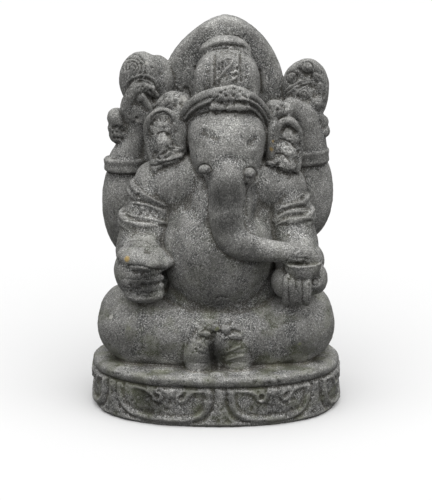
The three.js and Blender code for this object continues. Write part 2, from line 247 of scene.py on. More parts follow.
@dataclass(frozen=True)
class Limb:
    """A round-ended form bent along a smooth line, with a radius at each of the line's points.

    Its flatness is how thick it is towards its front, against its radius.
    """

    line: Path
    radii: tuple[float, ...]
    flatness: float = 1.0
    sides: int = 24
    rings_each: int = 8
    cap_rings: int = 5

    def fronts(self, tangent: np.ndarray) -> np.ndarray:
        """The way to the form's front at each ring, carried along the line without a twist.

        Args:
            tangent: the line's own way at each ring.

        Returns:
            One row for each ring.
        """
        upright_limit = 0.8
        front = np.array((0.0, -1.0, 0.0))
        if abs(tangent[0][1]) >= upright_limit:
            front = np.array((0.0, 0.0, 1.0))
        fronts = np.empty_like(tangent)
        for index, way in enumerate(tangent):
            front = front - way * front.dot(way)
            front /= np.linalg.norm(front)
            fronts[index] = front
        return fronts

    def build(self) -> Piece:
        """Moves the rings of a sphere onto the line, and its two caps onto the line's ends.

        Returns:
            The new piece.
        """
        cap = self.cap_rings
        spans = self.rings_each * (len(self.line) - 1)
        rings = spans + 2 * cap
        bpy.ops.mesh.primitive_uv_sphere_add(segments=self.sides, ring_count=rings, radius=1)
        piece = bpy.context.object
        sphere = read_points(piece.data)
        order = np.arange(rings + 1)
        share = np.clip((order - cap) / spans, 0, 1)
        line = smooth_line(self.line, share)
        radius = smooth_line([(value,) for value in self.radii], share)[:, 0]
        nudge = 0.002
        tangent = smooth_line(self.line, share + nudge) - smooth_line(self.line, share - nudge)
        tangent /= np.linalg.norm(tangent, axis=1)[:, None]
        lift = np.clip(order / cap, 0, 1) + np.clip((rings - order) / cap, 0, 1) - 1
        swell = np.sin(lift * math.pi / 2)
        reach = np.cos(lift * math.pi / 2) * np.where(order < rings / 2, -1, 1)
        fronts = self.fronts(tangent)
        across = np.cross(tangent, fronts)
        ring = np.rint(np.arccos(np.clip(sphere[:, 2], -1, 1)) / math.pi * rings).astype(int)
        angle = np.arctan2(sphere[:, 1], sphere[:, 0])
        girth = (radius * swell)[ring]
        moved = line[ring] + tangent[ring] * (reach * radius)[ring][:, None]
        moved += across[ring] * (np.cos(angle) * girth)[:, None]
        moved += fronts[ring] * (np.sin(angle) * girth * self.flatness)[:, None]
        write_points(piece.data, moved * MM)
        return piece


@dataclass(frozen=True)
class Turned:
    """A form spun about an upright axis, which meets height 0 at its place.

    Its profile is pairs of radius and height, from axis to axis. Its stretch is along X and Y.
    """

    at: Triple
    profile: Line
    stretch: Pair = (1, 1)
    turn: Triple = (0, 0, 0)
    steps: int = 48

    def build(self) -> Piece:
        """Extrudes a point along the profile and spins it.

        Returns:
            The new piece.
        """
        bpy.ops.mesh.primitive_plane_add(size=MM)
        piece = bpy.context.object
        bpy.ops.object.mode_set(mode="EDIT")
        bpy.ops.mesh.merge(type="CENTER")
        radius, height = self.profile[0]
        bpy.ops.transform.translate(value=(radius * MM, 0, height * MM))
        for after in self.profile[1:]:
            move = ((after[0] - radius) * MM, 0, (after[1] - height) * MM)
            bpy.ops.mesh.extrude_region_move(TRANSFORM_OT_translate={"value": move})
            radius, height = after
        bpy.ops.mesh.select_all(action="SELECT")
        bpy.ops.mesh.spin(steps=self.steps, angle=math.tau, center=(0, 0, 0), axis=(0, 0, 1))
        close_mesh()
        piece.scale = (*self.stretch, 1)
        piece.rotation_euler = in_radians(self.turn)
        piece.location = in_metres(self.at)
        bpy.ops.object.transform_apply()
        return piece


@dataclass(frozen=True)
class Form:
    """Overlapping shapes that are fused, with a number of smoothing passes and a mesh size.

    The mesh size is a share of the usual one.
    """

    parts: tuple[Shape, ...]
    passes: int = 3
    mesh: float = 1.0

    def build(self) -> Piece:
        """Builds the shapes and fuses them."""
        return fuse([part.build() for part in self.parts], self.passes, FORM_VOXEL * self.mesh)


@dataclass(frozen=True)
class PhotoCamera:
    """The camera at the photograph's viewing angle, in metres, with the photograph's frame."""

    width: int = 432
    height: int = 500
    focal_pixels: float = 1534.0
    elevation: float = 14.5
    distance: float = 2.0
    aim_height: float = 0.1997
    sensor: float = 36.0

    def back(self) -> Vector:
        """The way from the aim point to the camera."""
        tilt = math.radians(self.elevation)
        return Vector((0, -math.cos(tilt), math.sin(tilt)))

    def place(self) -> Vector:
        """Where the camera is."""
        return Vector((0, 0, self.aim_height)) + self.back() * self.distance

    def ray(self, pixel: Pair) -> Vector:
        """The way from the camera through a pixel of the photograph.

        Args:
            pixel: the pixel.

        Returns:
            The way, one metre long.
        """
        right = Vector((1, 0, 0))
        up = right.cross(-self.back())
        x = (pixel[0] - self.width / 2) / self.focal_pixels
        y = (self.height / 2 - pixel[1]) / self.focal_pixels
        return (-self.back() + right * x + up * y).normalized()

    def make(self) -> Piece:
        """Makes the camera and sets it as the scene's own.

        Returns:
            The camera.
        """
        bpy.ops.object.camera_add(location=self.place())
        camera = bpy.context.object
        camera.name = "view_from_photo"
        camera.rotation_euler = self.back().to_track_quat("Z", "Y").to_euler()
        camera.data.sensor_width = self.sensor
        camera.data.lens = self.focal_pixels * self.sensor / max(self.width, self.height)
        bpy.context.scene.camera = camera
        return camera


@dataclass(frozen=True)
class LotusBase:
    """The low oval base: a round rim, a groove under it and a ring of petals below that.

    The petals are as uneven as the carver left them. Places along the wall are measured from the
    middle of the front towards the figure's left. The gaps lie between the petals, and the hearts
    are the middles of their scrolls. Places in a petal are pairs of distance from its heart and
    height.
    """

    half_width: float = 165.0
    half_depth: float = 125.0
    top: float = 66.0
    squareness: float = 2.4
    rear_narrowing: float = 0.055
    narrowing_span: Pair = (0.05, 0.5)
    rim_insets: Line = (
        (0, 6.5), (3, 4.5), (8, 6), (49, 6), (51, 8.5), (53, 4.5), (55.5, 1.2), (61, 0.8),
        (64, 2.2), (66, 6),
    )
    end_wear: float = 9.0
    rear_wear: float = 6.0
    wear_foot: float = 50.0
    end_span: Pair = (0.78, 1.0)
    rear_span: Pair = (-10, 40)
    gaps: tuple[float, ...] = (-148.0, 5.0, 139.0, 266.0, 399.0, 535.0, 664.0)
    hearts: tuple[float, ...] = (-60.5, 75.0, 203.0, 332.0, 467.0, 600.0, 728.0)
    half_gap: float = 11.0
    petal_top: float = 48.5
    petal_bottom: float = 5.5
    side_power: float = 3.4
    foot_power: float = 3.0
    petal_edge: Pair = (-3.2, 3.4)
    border: float = 8.5
    relief: float = 6.0
    field_depth: float = 4.2
    field_edge: Pair = (-3.6, 4.2)
    field_swell: float = 1.2
    swell_edge: Pair = (2, 15)
    scroll_edge: Pair = (-2, 2)
    carved_from: Pair = (0.5, 3)
    carved_to: Pair = (-0.5, 2)
    scroll_line: Line = ((46, 49.5), (34, 48), (25, 43), (19, 35.5), (13, 34), (11, 39.5), (15, 43))
    scroll_relief: float = 5.6
    scroll_reach: Pair = (0.6, 6.0)
    lobe_radii: Pair = (14, 13)
    lobe_height: float = 47.0
    lobe_edge: float = 0.6
    pit_at: Pair = (16.2, 39.8)
    pit_reach: Pair = (1.5, 4.4)
    pit_depths: Pair = (4.5, 3.5)
    leaf_relief: float = 3.0
    leaf_edge: Pair = (3.0, 6.4)
    leaf_foot: Pair = (1, 4)
    leaf_vein: float = 1.2
    vein_width: float = 2.6
    columns: int = 800
    rows: int = 88
    outline_points: int = 4001

    def plan(self, angle: np.ndarray) -> np.ndarray:
        """The outline's points at these angles from the middle of the front.

        Args:
            angle: the angles in radians.

        Returns:
            One row of x and y for each angle.
        """
        across, along = np.sin(angle), np.cos(angle)
        power = self.squareness
        swell = (np.abs(across) ** power + np.abs(along) ** power) ** (-1 / power)
        narrowing = 1 - self.rear_narrowing * step_up(-swell * along, *self.narrowing_span)
        width = self.half_width * swell * across * narrowing
        return np.stack([width, -self.half_depth * swell * along], axis=1)

    def pit(self, away: np.ndarray, height: np.ndarray) -> np.ndarray:
        """How much of the pit in the scroll's curl is at each place, from 0 to 1."""
        gap = np.hypot(away - self.pit_at[0], height - self.pit_at[1])
        return 1 - step_up(gap, *self.pit_reach)

    def scroll(self, away: np.ndarray, height: np.ndarray) -> np.ndarray:
        """The lobe in a petal's middle, and the scrolled ridge with the pit in its curl.

        Args:
            away: distance from the petal's heart along the wall.
            height: height on the wall.

        Returns:
            The relief in millimetres.
        """
        wide, tall = self.lobe_radii
        lobe = 1 - np.hypot(away / wide, (height - self.lobe_height) / tall)
        nearest = np.full(away.shape, np.inf)
        for x, z in smooth_line(self.scroll_line, np.linspace(0, 1, 60)):
            nearest = np.minimum(nearest, np.hypot(away - x, height - z))
        ridge = 1 - step_up(nearest, *self.scroll_reach)
        relief = self.scroll_relief * np.maximum(step_up(lobe, 0, self.lobe_edge), ridge)
        return relief - self.pit_depths[0] * self.pit(away, height)

    def rise(self, inside: np.ndarray, edge: Pair) -> np.ndarray:
        """A soft step over an edge that is measured from the inner side of a petal's border."""
        return step_up(inside, self.border + edge[0], self.border + edge[1])

    def petal(
        self, side: np.ndarray, half: np.ndarray, gap: np.ndarray, height: np.ndarray
    ) -> np.ndarray:
        """How far the carving stands out of the wall.

        Args:
            side: distance from the petal's heart along the wall.
            half: the petal's half width on that side.
            gap: distance from the nearest gap between petals.
            height: height on the wall.

        Returns:
            The relief in millimetres.
        """
        tall = self.petal_top - self.petal_bottom
        away = np.abs(side)
        across = away / half
        drop = np.clip((self.petal_top - height) / tall, 0, 1.25)
        fill = across**self.side_power + drop**self.foot_power
        steep_across = self.side_power / half * across ** (self.side_power - 1)
        steep_down = self.foot_power * drop ** (self.foot_power - 1) / tall
        inside = (1 - fill) / np.maximum(np.hypot(steep_across, steep_down), 0.006)
        relief = self.relief * step_up(inside, *self.petal_edge)
        relief -= self.field_depth * self.rise(inside, self.field_edge)
        relief += self.field_swell * self.rise(inside, self.swell_edge)
        field = self.rise(inside, self.scroll_edge)
        relief = np.maximum(relief, self.scroll(away, height) * field)
        relief -= self.pit_depths[1] * self.pit(away, height)
        vein = self.leaf_vein * np.exp(-((gap / self.vein_width) ** 2))
        leaf = step_up(-inside, *self.leaf_edge) * (self.leaf_relief + vein)
        relief += leaf * step_up(height, *self.leaf_foot)
        zone = step_up(height, *self.carved_from)
        start, end = (self.petal_top + step for step in self.carved_to)
        zone *= 1 - step_up(height, start, end)
        return np.minimum(relief, self.relief) * zone

    def carving(self, along: np.ndarray, whole: float, height: np.ndarray) -> np.ndarray:
        """Finds each place's own petal and that petal's carving.

        Args:
            along: distance along the wall from the middle of the front.
            whole: the wall's whole length.
            height: height on the wall.

        Returns:
            The relief in millimetres.
        """
        along = np.where(along > self.gaps[0] + whole, along - whole, along)
        borders = np.array((*self.gaps, self.gaps[0] + whole))
        number = np.searchsorted(borders, along, side="right") - 1
        number = np.clip(number, 0, len(self.hearts) - 1)
        before, after = borders[number], borders[number + 1]
        heart = np.array(self.hearts)[number]
        side = along - heart
        half = np.where(side < 0, heart - before, after - heart) - self.half_gap
        gap = np.minimum(along - before, after - along)
        return self.petal(side, half, gap, height)

    def build(self) -> Piece:
        """Wraps a fine grid round the plan and carves its wall.

        Returns:
            The base.
        """
        angle = np.linspace(0, math.tau, self.outline_points)
        steps = np.linalg.norm(np.diff(self.plan(angle), axis=0), axis=1)
        lengths = np.concatenate([[0], np.cumsum(steps)])
        bpy.ops.mesh.primitive_grid_add(x_subdivisions=self.columns, y_subdivisions=self.rows, size=1)
        piece = bpy.context.object
        grid = read_points(piece.data) + 0.5
        along = grid[:, 0] * lengths[-1]
        wall_foot, wall_top = 0.1, 0.74
        knots = (0, wall_foot, wall_top, 1)
        height = np.interp(grid[:, 1], knots, (0, 0, self.top, self.top))
        spread = np.interp(grid[:, 1], knots, (0, 1, 1, 0))
        inset = np.interp(height, *zip(*self.rim_insets))
        inset -= self.carving(along, lengths[-1], height)
        edge = self.plan(np.interp(along, lengths, angle))
        worn = step_up(np.abs(edge[:, 0]) / self.half_width, *self.end_span)
        wear = self.end_wear + self.rear_wear * step_up(edge[:, 1], *self.rear_span)
        wear *= np.clip((height - self.wear_foot) / (self.top - self.wear_foot), 0, 1) ** 2
        inset += worn * wear
        out = edge / np.linalg.norm(edge, axis=1)[:, None]
        place = (edge - out * np.maximum(inset, 0)[:, None]) * spread[:, None]
        write_points(piece.data, np.column_stack([place, height]) * MM)
        bpy.ops.object.mode_set(mode="EDIT")
        close_mesh()
        return piece


@dataclass(frozen=True)
class Legs:
    """The crossed legs under the cloth of the lap: two great bent tubes and a low middle."""

    knee_x: float = 108.0
    radius: float = 46.0
    lap_middle: float = 106.0
    lap_top: float = 153.0
    passes: int = 20

    def lap(self) -> tuple[Shape, Shape]:
        """The low middle between the legs, and its full underside.

        Returns:
            Both shapes.
        """
        underside = ((-104, -50, 93), (0, -62, 93), (104, -50, 93))
        return (
            Ball((0, -48, self.lap_middle), (84, 54, self.lap_top - self.lap_middle)),
            Limb(underside, (31, 33, 31)),
        )

    def leg(self, side: int) -> tuple[Shape, ...]:
        """One leg: its thigh, shin and knee, the hip behind them and the swell over the knee.

        Args:
            side: -1 for the figure's right and 1 for its left.

        Returns:
            The leg's shapes.
        """
        knee = side * self.knee_x
        return (
            Limb(((side * 44, 10, 114), (knee, -30, 112)), (46, self.radius)),
            Limb(((knee - side * 3, -38, 108), (side * 30, -60, 105)), (self.radius, 40)),
            Ball((knee, -36, 110), (46, 52, 46)),
            Limb(((side * 84, 44, 106), (side * 106, -20, 108)), (48, 46)),
            Ball((side * 114, -34, 122), (37, 46, 42)),
        )

    def build(self) -> Piece:
        """Builds the lap and both legs as one soft form."""
        legs = [shape for side in SIDES for shape in self.leg(side)]
        return Form((*self.lap(), *legs), self.passes).build()


@dataclass(frozen=True)
class Feet(Form):
    """The bulky right sole and the flatter left one, with their worn toes and a knob in front."""

    parts: tuple[Shape, ...] = (
        Limb(((-21, -85, 72), (-22, -90, 90), (-20, -91, 104), (-16, -92, 113)), (18, 20, 17, 12), 0.9),
        Limb(((27, -79, 72), (26, -83, 90), (22, -86, 108)), (20, 22, 17), 0.84),
        Ball((1, -108, 64), (11, 7, 5)),
        Ball((3, -77, 88), (13, 15, 28)),
        Ball((-12, -101, 117), (7, 6, 5), TOE_TILT),
        Ball((-1, -101, 125), (5.5, 5, 5.5), TOE_TILT),
        Ball((13, -100, 123), (6, 5.5, 6), TOE_TILT),
        Ball((24, -99, 113), (9, 5, 4), TOE_TILT),
    )
    mesh: float = 0.8


@dataclass(frozen=True)
class Torso(Form):
    """The round belly that hangs over the lap, the chest, the shoulders and the throat."""

    parts: tuple[Shape, ...] = (
        Ball((3, -38, 208), (73, 71, 80)),
        Limb(((3, -12, 140), (5, -17, 230), (8, -12, 292)), (84, 77, 60), 0.86),
        Limb(((-72, -8, 288), (8, -22, 292), (84, -8, 284)), (34, 46, 33)),
        Limb(((12, -40, 318), (11, -50, 290), (8, -64, 262)), (38, 42, 40), 0.72),
    )
    passes: int = 26


@dataclass(frozen=True)
class BackMass(Form):
    """The plain back, which ties the hips, shoulders, raised arms and plate together."""

    parts: tuple[Shape, ...] = (
        Ball((0, 42, 112), (112, 60, 72)),
        Limb(((0, 34, 140), (4, 38, 300)), (86, 72), 0.38),
        Limb(((-90, 40, 206), (-86, 42, 372)), (38, 26)),
        Limb(((90, 40, 206), (86, 42, 372)), (38, 26)),
    )
    passes: int = 16


@dataclass(frozen=True)
class BackPlate:
    """The pointed plate behind the head, which runs down the figure's back.

    Each of its curved sides is drawn by four knots: a shoulder, a point above it, a bend and the tip.
    """

    front: float = 30.0
    back: float = 66.0
    foot: float = 130.0
    foot_ends: Pair = (85.0, -73.0)
    bevel: float = 7.0
    left_side: Line = ((90, 395), (90, 434), (66.5, 489), (12, 500))
    right_side: Line = ((-74, 395), (-74, 434), (-41.5, 487), (12, 500))
    side_points: int = 24

    def side(self, knots: Line) -> np.ndarray:
        """One curved side, from the shoulder to the tip.

        Args:
            knots: the curve's four knots, as pairs of x and z.

        Returns:
            One row of x and z for each point.
        """
        share = np.linspace(0, 1, self.side_points)[:, None]
        rest = 1 - share
        weights = (rest**3, 3 * share * rest**2, 3 * share**2 * rest, share**3)
        return sum(weight * np.array(knot) for weight, knot in zip(weights, knots))

    def outline(self) -> np.ndarray:
        """The plate's outline, from its left foot up over the tip to its right foot.

        Returns:
            One row of x and z for each point.
        """
        left_foot, right_foot = ((x, self.foot) for x in self.foot_ends)
        down = self.side(self.right_side)[-2::-1]
        return np.vstack([left_foot, self.side(self.left_side), down, right_foot])

    def build(self) -> Piece:
        """Moves a circle's points onto the outline, extrudes it and rounds its edges.

        Returns:
            The plate.
        """
        outline = self.outline()
        bpy.ops.mesh.primitive_circle_add(vertices=len(outline), radius=1, fill_type="NGON")
        piece = bpy.context.object
        depth = np.full(len(outline), self.front)
        write_points(piece.data, np.column_stack([outline[:, 0], depth, outline[:, 1]]) * MM)
        bpy.ops.object.mode_set(mode="EDIT")
        bpy.ops.mesh.select_all(action="SELECT")
        thick = (0, (self.back - self.front) * MM, 0)
        bpy.ops.mesh.extrude_region_move(TRANSFORM_OT_translate={"value": thick})
        close_mesh()
        change(piece, "BEVEL", width=self.bevel * MM, segments=4, limit_method="ANGLE")
        return fuse([piece], 2, FORM_VOXEL)


@dataclass(frozen=True)
class Armlet:
    """A band of two low ridges round an upper arm."""

    at: Triple
    radius: float
    turn: Triple
    stretch: Pair = (1, 0.95)
    mesh: float = 0.75

    def build(self) -> Piece:
        """Builds the band.

        Returns:
            The band.
        """
        radius = self.radius
        profile = (
            (0, -8), (radius - 4, -8), (radius - 1, -7), (radius, -4.5), (radius - 2.2, -2),
            (radius - 2.2, 2), (radius - 0.4, 4), (radius - 1, 6.5), (radius - 4, 8), (0, 8),
        )
        return Form((Turned(self.at, profile, self.stretch, self.turn),), 1, self.mesh).build()


@dataclass(frozen=True)
class FrontArm:
    """A front arm from shoulder to wrist, with an upper and a lower armlet."""

    shoulder: Triple
    elbow: Triple
    wrist: Triple
    armlets: tuple[Armlet, Armlet]
    shoulder_radius: float = 29.0
    elbow_radius: float = 33.5
    wrist_radius: float = 27.0
    passes: int = 14

    def build(self) -> Piece:
        """Builds the arm itself.

        Returns:
            The arm.
        """
        upper = Limb((self.shoulder, self.elbow), (self.shoulder_radius, self.elbow_radius))
        fore = Limb((self.elbow, self.wrist), (self.elbow_radius, self.wrist_radius))
        return Form((upper, fore), self.passes).build()

    def bands(self) -> list[Piece]:
        """Builds both armlets."""
        return [armlet.build() for armlet in self.armlets]


@dataclass(frozen=True)
class RearArm:
    """A raised arm at the back: the bent arm, its bracelet and the forearm above it."""

    upper: Ball
    forearm: Limb
    ring: Triple
    tilt: float = 0.0
    ring_radius: float = 28.5
    ring_stretch: Pair = (1, 0.95)
    passes: int = 4

    def build(self) -> Piece:
        """Builds the arm and the forearm."""
        return Form((self.upper, self.forearm), self.passes).build()

    def bracelet(self) -> Piece:
        """Builds the thick ring round the wrist.

        Returns:
            The ring.
        """
        size = self.ring_radius
        profile = (
            (0, -9), (size - 4, -9), (size - 0.8, -7.5), (size - 0.6, -4), (size - 1.6, 0),
            (size - 1.2, 3.5), (size, 6), (size - 1, 8.5), (size - 5, 9.5), (0, 9.5),
        )
        ring = Turned(self.ring, profile, self.ring_stretch, (0, self.tilt, 0))
        return Form((ring,), 1).build()


@dataclass(frozen=True)
class TuskHand:
    """The figure's right hand: a fist on the thigh round the stump of a tusk."""

    top: Form = Form((
        Ball((-94, -73, 212), (31.5, 36, 14.5)),
        Ball((-90, -80, 207), (30, 30, 11)),
        Ball((-67, -80, 205), (14, 16, 9.5)),
    ), passes=5)
    under: Form = Form((
        Ball((-98.5, -73, 192), (30.5, 31, 34)),
        Ball((-90, -78, 165), (26, 25, 13)),
    ), passes=5)
    cushion: Limb = Limb(((-110, -89, 166), (-92, -96, 164), (-72, -91, 165)), (6, 7.5, 6.5))
    finger_heights: tuple[float, ...] = (197.5, 186.5, 176.0)
    finger_radii: tuple[float, ...] = (2.6, 3.8, 4.8, 4.6, 4)
    mesh: float = 0.8

    def finger(self, z: float) -> Limb:
        """The bent finger at a height."""
        line = ((-113, -78, z + 0.5), (-108, -89, z), (-94, -97.5, z - 1), (-79, -95, z - 1), (-68, -86, z))
        return Limb(line, self.finger_radii)

    def build(self) -> Piece:
        """Builds the domed top of the fist, the fingers under it and the cushion they rest on."""
        fingers = [self.finger(z) for z in self.finger_heights]
        return Form((self.top, self.under, *fingers, self.cushion), mesh=self.mesh).build()


@dataclass(frozen=True)
class BowlHand:
    """The figure's left hand, with its fingers bent up in front, and the bowl that it holds."""

    palm: tuple[Ball, ...] = (
        Ball((100, -76, 178), (31, 30, 24)),
        Ball((126, -72, 182), (15, 24, 20)),
        Ball((120, -50, 200), (18, 26, 21)),
    )
    knuckles: tuple[Ball, ...] = (
        Ball((101, -96, 174), (18, 11, 17)),
        Ball((124, -93, 180), (8.5, 9, 8)),
        Ball((121, -92, 190), (7, 7, 6)),
    )
    first_finger: float = 87.5
    finger_pitch: float = 8.6
    fingers: int = 4
    finger_radii: tuple[float, ...] = (4.8, 5.2, 5.2, 4.8)
    mesh: float = 0.8
    bowl_at: Triple = (108, -94, 189)
    bowl_profile: Line = (
        (0, 0), (16, 0), (20, 5), (22.5, 11), (23.5, 15), (23.5, 18), (21.5, 20), (18.5, 19.6),
        (15, 18.6), (0, 18),
    )
    bowl_stretch: Pair = (1, 0.95)
    bowl_mesh: float = 0.7

    def finger(self, number: int) -> Limb:
        """One of the bent fingers, from the figure's right to its left.

        Args:
            number: the finger's number, from 0.

        Returns:
            The finger.
        """
        x = self.first_finger + number * self.finger_pitch
        line = ((x, -97, 157), (x, -107, 166), (x, -109, 182), (x + 0.5, -104, 191))
        return Limb(line, self.finger_radii)

    def build(self) -> Piece:
        """Builds the palm, the fingers, the outer edge of the hand and the curl beside it."""
        fingers = [self.finger(number) for number in range(self.fingers)]
        return Form((*self.palm, *fingers, *self.knuckles), mesh=self.mesh).build()

    def bowl(self) -> Piece:
        """Builds the bowl, with a hollow under the tip of the trunk."""
        bowl = Turned(self.bowl_at, self.bowl_profile, self.bowl_stretch)
        return Form((bowl,), 1, self.bowl_mesh).build()


@dataclass(frozen=True)
class Head:
    """The elephant's head: skull, broad face, cut-off tusks and the trunk that swings to the bowl."""

    skull: Ball = Ball((13, -24, 360), (50, 50, 46))
    face: Limb = Limb((
        (13.5, -42, 356), (13.5, -55, 332), (15, -66, 315), (14.5, -80, 299),
    ), (49, 45, 35, 23), 0.74, sides=32)
    trunk: Limb = Limb((
        (15, -52, 335), (14, -72, 312), (13, -88, 287), (13, -96, 262), (20, -99, 240),
        (38, -100, 229), (58, -101, 226), (79, -101, 223.5), (99, -99, 221.5), (113, -96, 217),
        (120, -94, 211),
    ), (30, 26, 21.8, 21, 20, 17.5, 15, 13.4, 12.4, 11.4, 9.6), sides=32)
    tip: Limb = Limb((
        (86, -102, 211), (92, -105, 216), (101, -107, 218), (110, -105, 217), (117, -101, 211),
    ), (4, 4.6, 5, 4.8, 4.2))
    tusks: Form = Form((
        Ball((-14, -91, 325.5), (7.8, 11, 5.4)),
        Ball((41.5, -91, 321), (6.8, 11, 6.2)),
        Ball((41, -86, 313), (5.4, 9, 7)),
    ), passes=1, mesh=0.7)
    passes: int = 10

    def build(self) -> Piece:
        """Builds the skull, the face and the trunk as one soft form, and the trunk's tip."""
        return Form((Form((self.skull, self.face, self.trunk), self.passes), self.tip)).build()


@dataclass(frozen=True)
class Ear:
    """One ear: a hanging leaf with a rolled rim and the folds that cross it."""

    rim: Path
    leaf: Ball
    folds: tuple[Ball, ...]
    root: Ball
    rim_radius: float = 4.6
    passes: int = 4
    mesh: float = 0.8

    def build(self) -> Piece:
        """Builds the leaf, its root on the head, the rim round it and the folds on it.

        Returns:
            The ear.
        """
        leaf = Form((self.leaf, self.root), self.passes)
        rim = Limb(self.rim, (self.rim_radius,) * len(self.rim))
        return Form((leaf, rim, *self.folds), self.passes, self.mesh).build()


@dataclass(frozen=True)
class Diadem:
    """The layered band over the brow from temple to temple, with a knob and beads in its middle.

    The curls are the rough masses of hair beside it, behind the ears. Its beads are triples of x, z
    and half size, and those of its lip are pairs of x and half width.
    """

    core: Limb = Limb((
        (-40, -22, 372), (-33, -36, 388), (-20, -48, 400), (-2.5, -57, 407), (16, -60, 409),
        (33, -57, 406), (48, -46, 396), (59, -34, 382), (66, -20, 363),
    ), (9, 11, 13, 15, 15.5, 15, 13, 11, 9), 0.6)
    brim: Limb = Limb((
        (-42, -20, 380), (-30, -34, 397), (-16, -46, 407), (-2.5, -56, 415), (14.7, -62, 420),
        (30.7, -60, 418), (46, -50, 408), (58, -38, 394), (67, -22, 376),
    ), (5, 5, 5, 5, 5, 5, 5, 5, 5))
    brow: Ball = Ball((13.5, -32, 396), (47, 27, 19))
    knob: Ball = Ball((20, -65, 420), (8, 6, 6.5))
    beads: Path = ((5, 411, 5), (12, 409, 4.5), (31, 410, 4.5), (38, 409, 4.5), (20, 411, 5))
    bead_y: float = -68.0
    bead_depth: float = 4.5
    lip_beads: Line = ((-4, 5), (5, 6.8), (17, 7), (29, 6.4), (38, 4.5))
    lip_at: Pair = (-66.5, 398.0)
    lip_size: Pair = (5.0, 4.4)
    mesh: float = 0.75
    curls: Form = Form((
        Ball((-54, -8, 396), (18, 16, 14)),
        Ball((-42, -13, 394), (12, 12, 15)),
        Ball((-66, -8, 392), (10, 12, 10)),
        Ball((-36, -16, 380), (9, 12, 14)),
        Ball((74, -13, 386), (14, 15, 14)),
        Ball((88, -9, 385), (11, 12, 11)),
        Ball((68, -18, 374), (9, 11, 13)),
    ), passes=8)

    def build(self) -> Piece:
        """Builds the band, its thick upper edge, the knob and the beads of its lip.

        Returns:
            The band.
        """
        beads = [Ball((x, self.bead_y, z), (size, self.bead_depth, size)) for x, z, size in self.beads]
        lip = [Ball((x, *self.lip_at), (width, *self.lip_size)) for x, width in self.lip_beads]
        parts = (self.core, self.brim, self.brow, self.knob, *beads, *lip)
        return Form(parts, mesh=self.mesh).build()


@dataclass(frozen=True)
class Crown:
    """The piled-up hair above the diadem: a tall dome of locks, and the crescent over it."""

    x: float = 13.5
    foot: float = 386.0
    lock: float = 28.5
    dome: Line = (
        (0, 0), (41, 0), (42, 32), (41, 45), (38.5, 56), (34.5, 63), (28, 68.5), (20, 72), (0, 74),
    )
    dome_y: float = -10.0
    dome_stretch: Pair = (1, 0.86)
    lock_radii: Triple = (12, 11, 9)
    crescent: Limb = Limb((
        (-19, 10, 457), (-13, 8, 464), (-3, 7, 469), (6, 6, 471.5), (15, 6, 472),
        (26, 7, 470.5), (34, 8, 467.5), (42, 10, 459),
    ), (3, 4.2, 5, 5.2, 5.2, 5, 4.2, 3), 2.7)
    passes: int = 2
    mesh: float = 0.8

    def side_lock(self, side: int) -> Limb:
        """The lock of hair beside the front panel, on one side.

        Args:
            side: -1 for the figure's right and 1 for its left.

        Returns:
            The lock.
        """
        x = self.x + side * self.lock
        foot = self.foot
        line = ((x, -27, foot + 18), (x, -27, foot + 46), (x - side * 3, -24, foot + 59))
        return Limb(line, self.lock_radii)

    def build(self) -> Piece:
        """Builds the dome, its front panel, the two locks beside it and its full back.

        Returns:
            The crown.
        """
        x, foot = self.x, self.foot
        parts = (
            Turned((x, self.dome_y, foot), self.dome, self.dome_stretch),
            Limb(((x, -31, foot + 20), (x, -31, foot + 58)), (17, 16.5), 1.05),
            *(self.side_lock(side) for side in SIDES),
            Ball((x, 16, foot + 58), (34, 22, 25)),
            Ball((x, 4, foot + 67), (32, 16, 15)),
        )
        return Form(parts, self.passes, self.mesh).build()

    def hood(self) -> Piece:
        """Builds the crescent ridge over the top of the dome."""
        return Form((self.crescent,), mesh=self.mesh).build()


@dataclass(frozen=True)
class Tuft(Form):
    """What the raised right hand holds: a shell-like tuft under bent fingers, with a tassel."""

    parts: tuple[Shape, ...] = (
        Form((Ball((-96, 30, 418), (29, 26, 37)), Ball((-76, 37, 412), (24, 20, 38))), passes=6),
        Form((Ball((-104, 17, 384), (19, 15, 24)), Ball((-90, 18, 378), (19, 14, 22))), passes=4),
        Limb((
            (-116, 10, 382), (-111, 6, 396), (-106, 3, 407), (-97, 2, 413), (-86, 4, 411),
            (-77, 8, 401),
        ), (7, 7.6, 7.4, 6.6, 5.6, 4.4)),
        Limb(((-101, 6, 394), (-95, 2, 401), (-88, 4, 391), (-81, 6, 382)), (3.4, 4.4, 4.2, 3.4)),
        Ball((-128.5, 22, 370), (12.5, 13, 13)),
        Ball((-126.5, 22, 349), (12, 11, 13)),
        Ball((-131, 20, 357), (9, 8, 9)),
        Ball((-113, 24, 362), (13, 10, 16)),
    )
    passes: int = 2
    mesh: float = 0.75


@dataclass(frozen=True)
class Hook(Form):
    """What the raised left hand holds: a beaded hook with its face, round heads and buds below."""

    parts: tuple[Shape, ...] = (
        Form((
            Limb((
                (93, 30, 412), (97, 28, 424), (106, 27, 432.5), (119, 26, 436.5), (130, 26, 428.5),
                (135.5, 26, 413), (135.5, 27, 397), (133, 28, 384), (128, 29, 374),
            ), (8, 9.5, 10, 10.5, 10.5, 10, 9.5, 9.5, 8)),
            Ball((112, 36, 403), (28, 20, 34)),
        )),
        Form((Ball((103, 20, 381), (22, 14, 18)), Ball((120, 22, 376), (18, 14, 16))), passes=4),
        Ball((111.5, 19, 402), (14.5, 7, 9), (0, 8, 0)),
        Ball((129, 14, 390), (8, 8, 8)),
        Ball((117, 14, 385), (6, 8, 6)),
        Ball((136.5, 22, 365), (9.5, 9.5, 9.5)),
        Ball((139, 22, 353), (8.8, 8.8, 8.8)),
        Ball((131, 18, 371), (8, 8, 8)),
    )
    mesh: float = 0.75


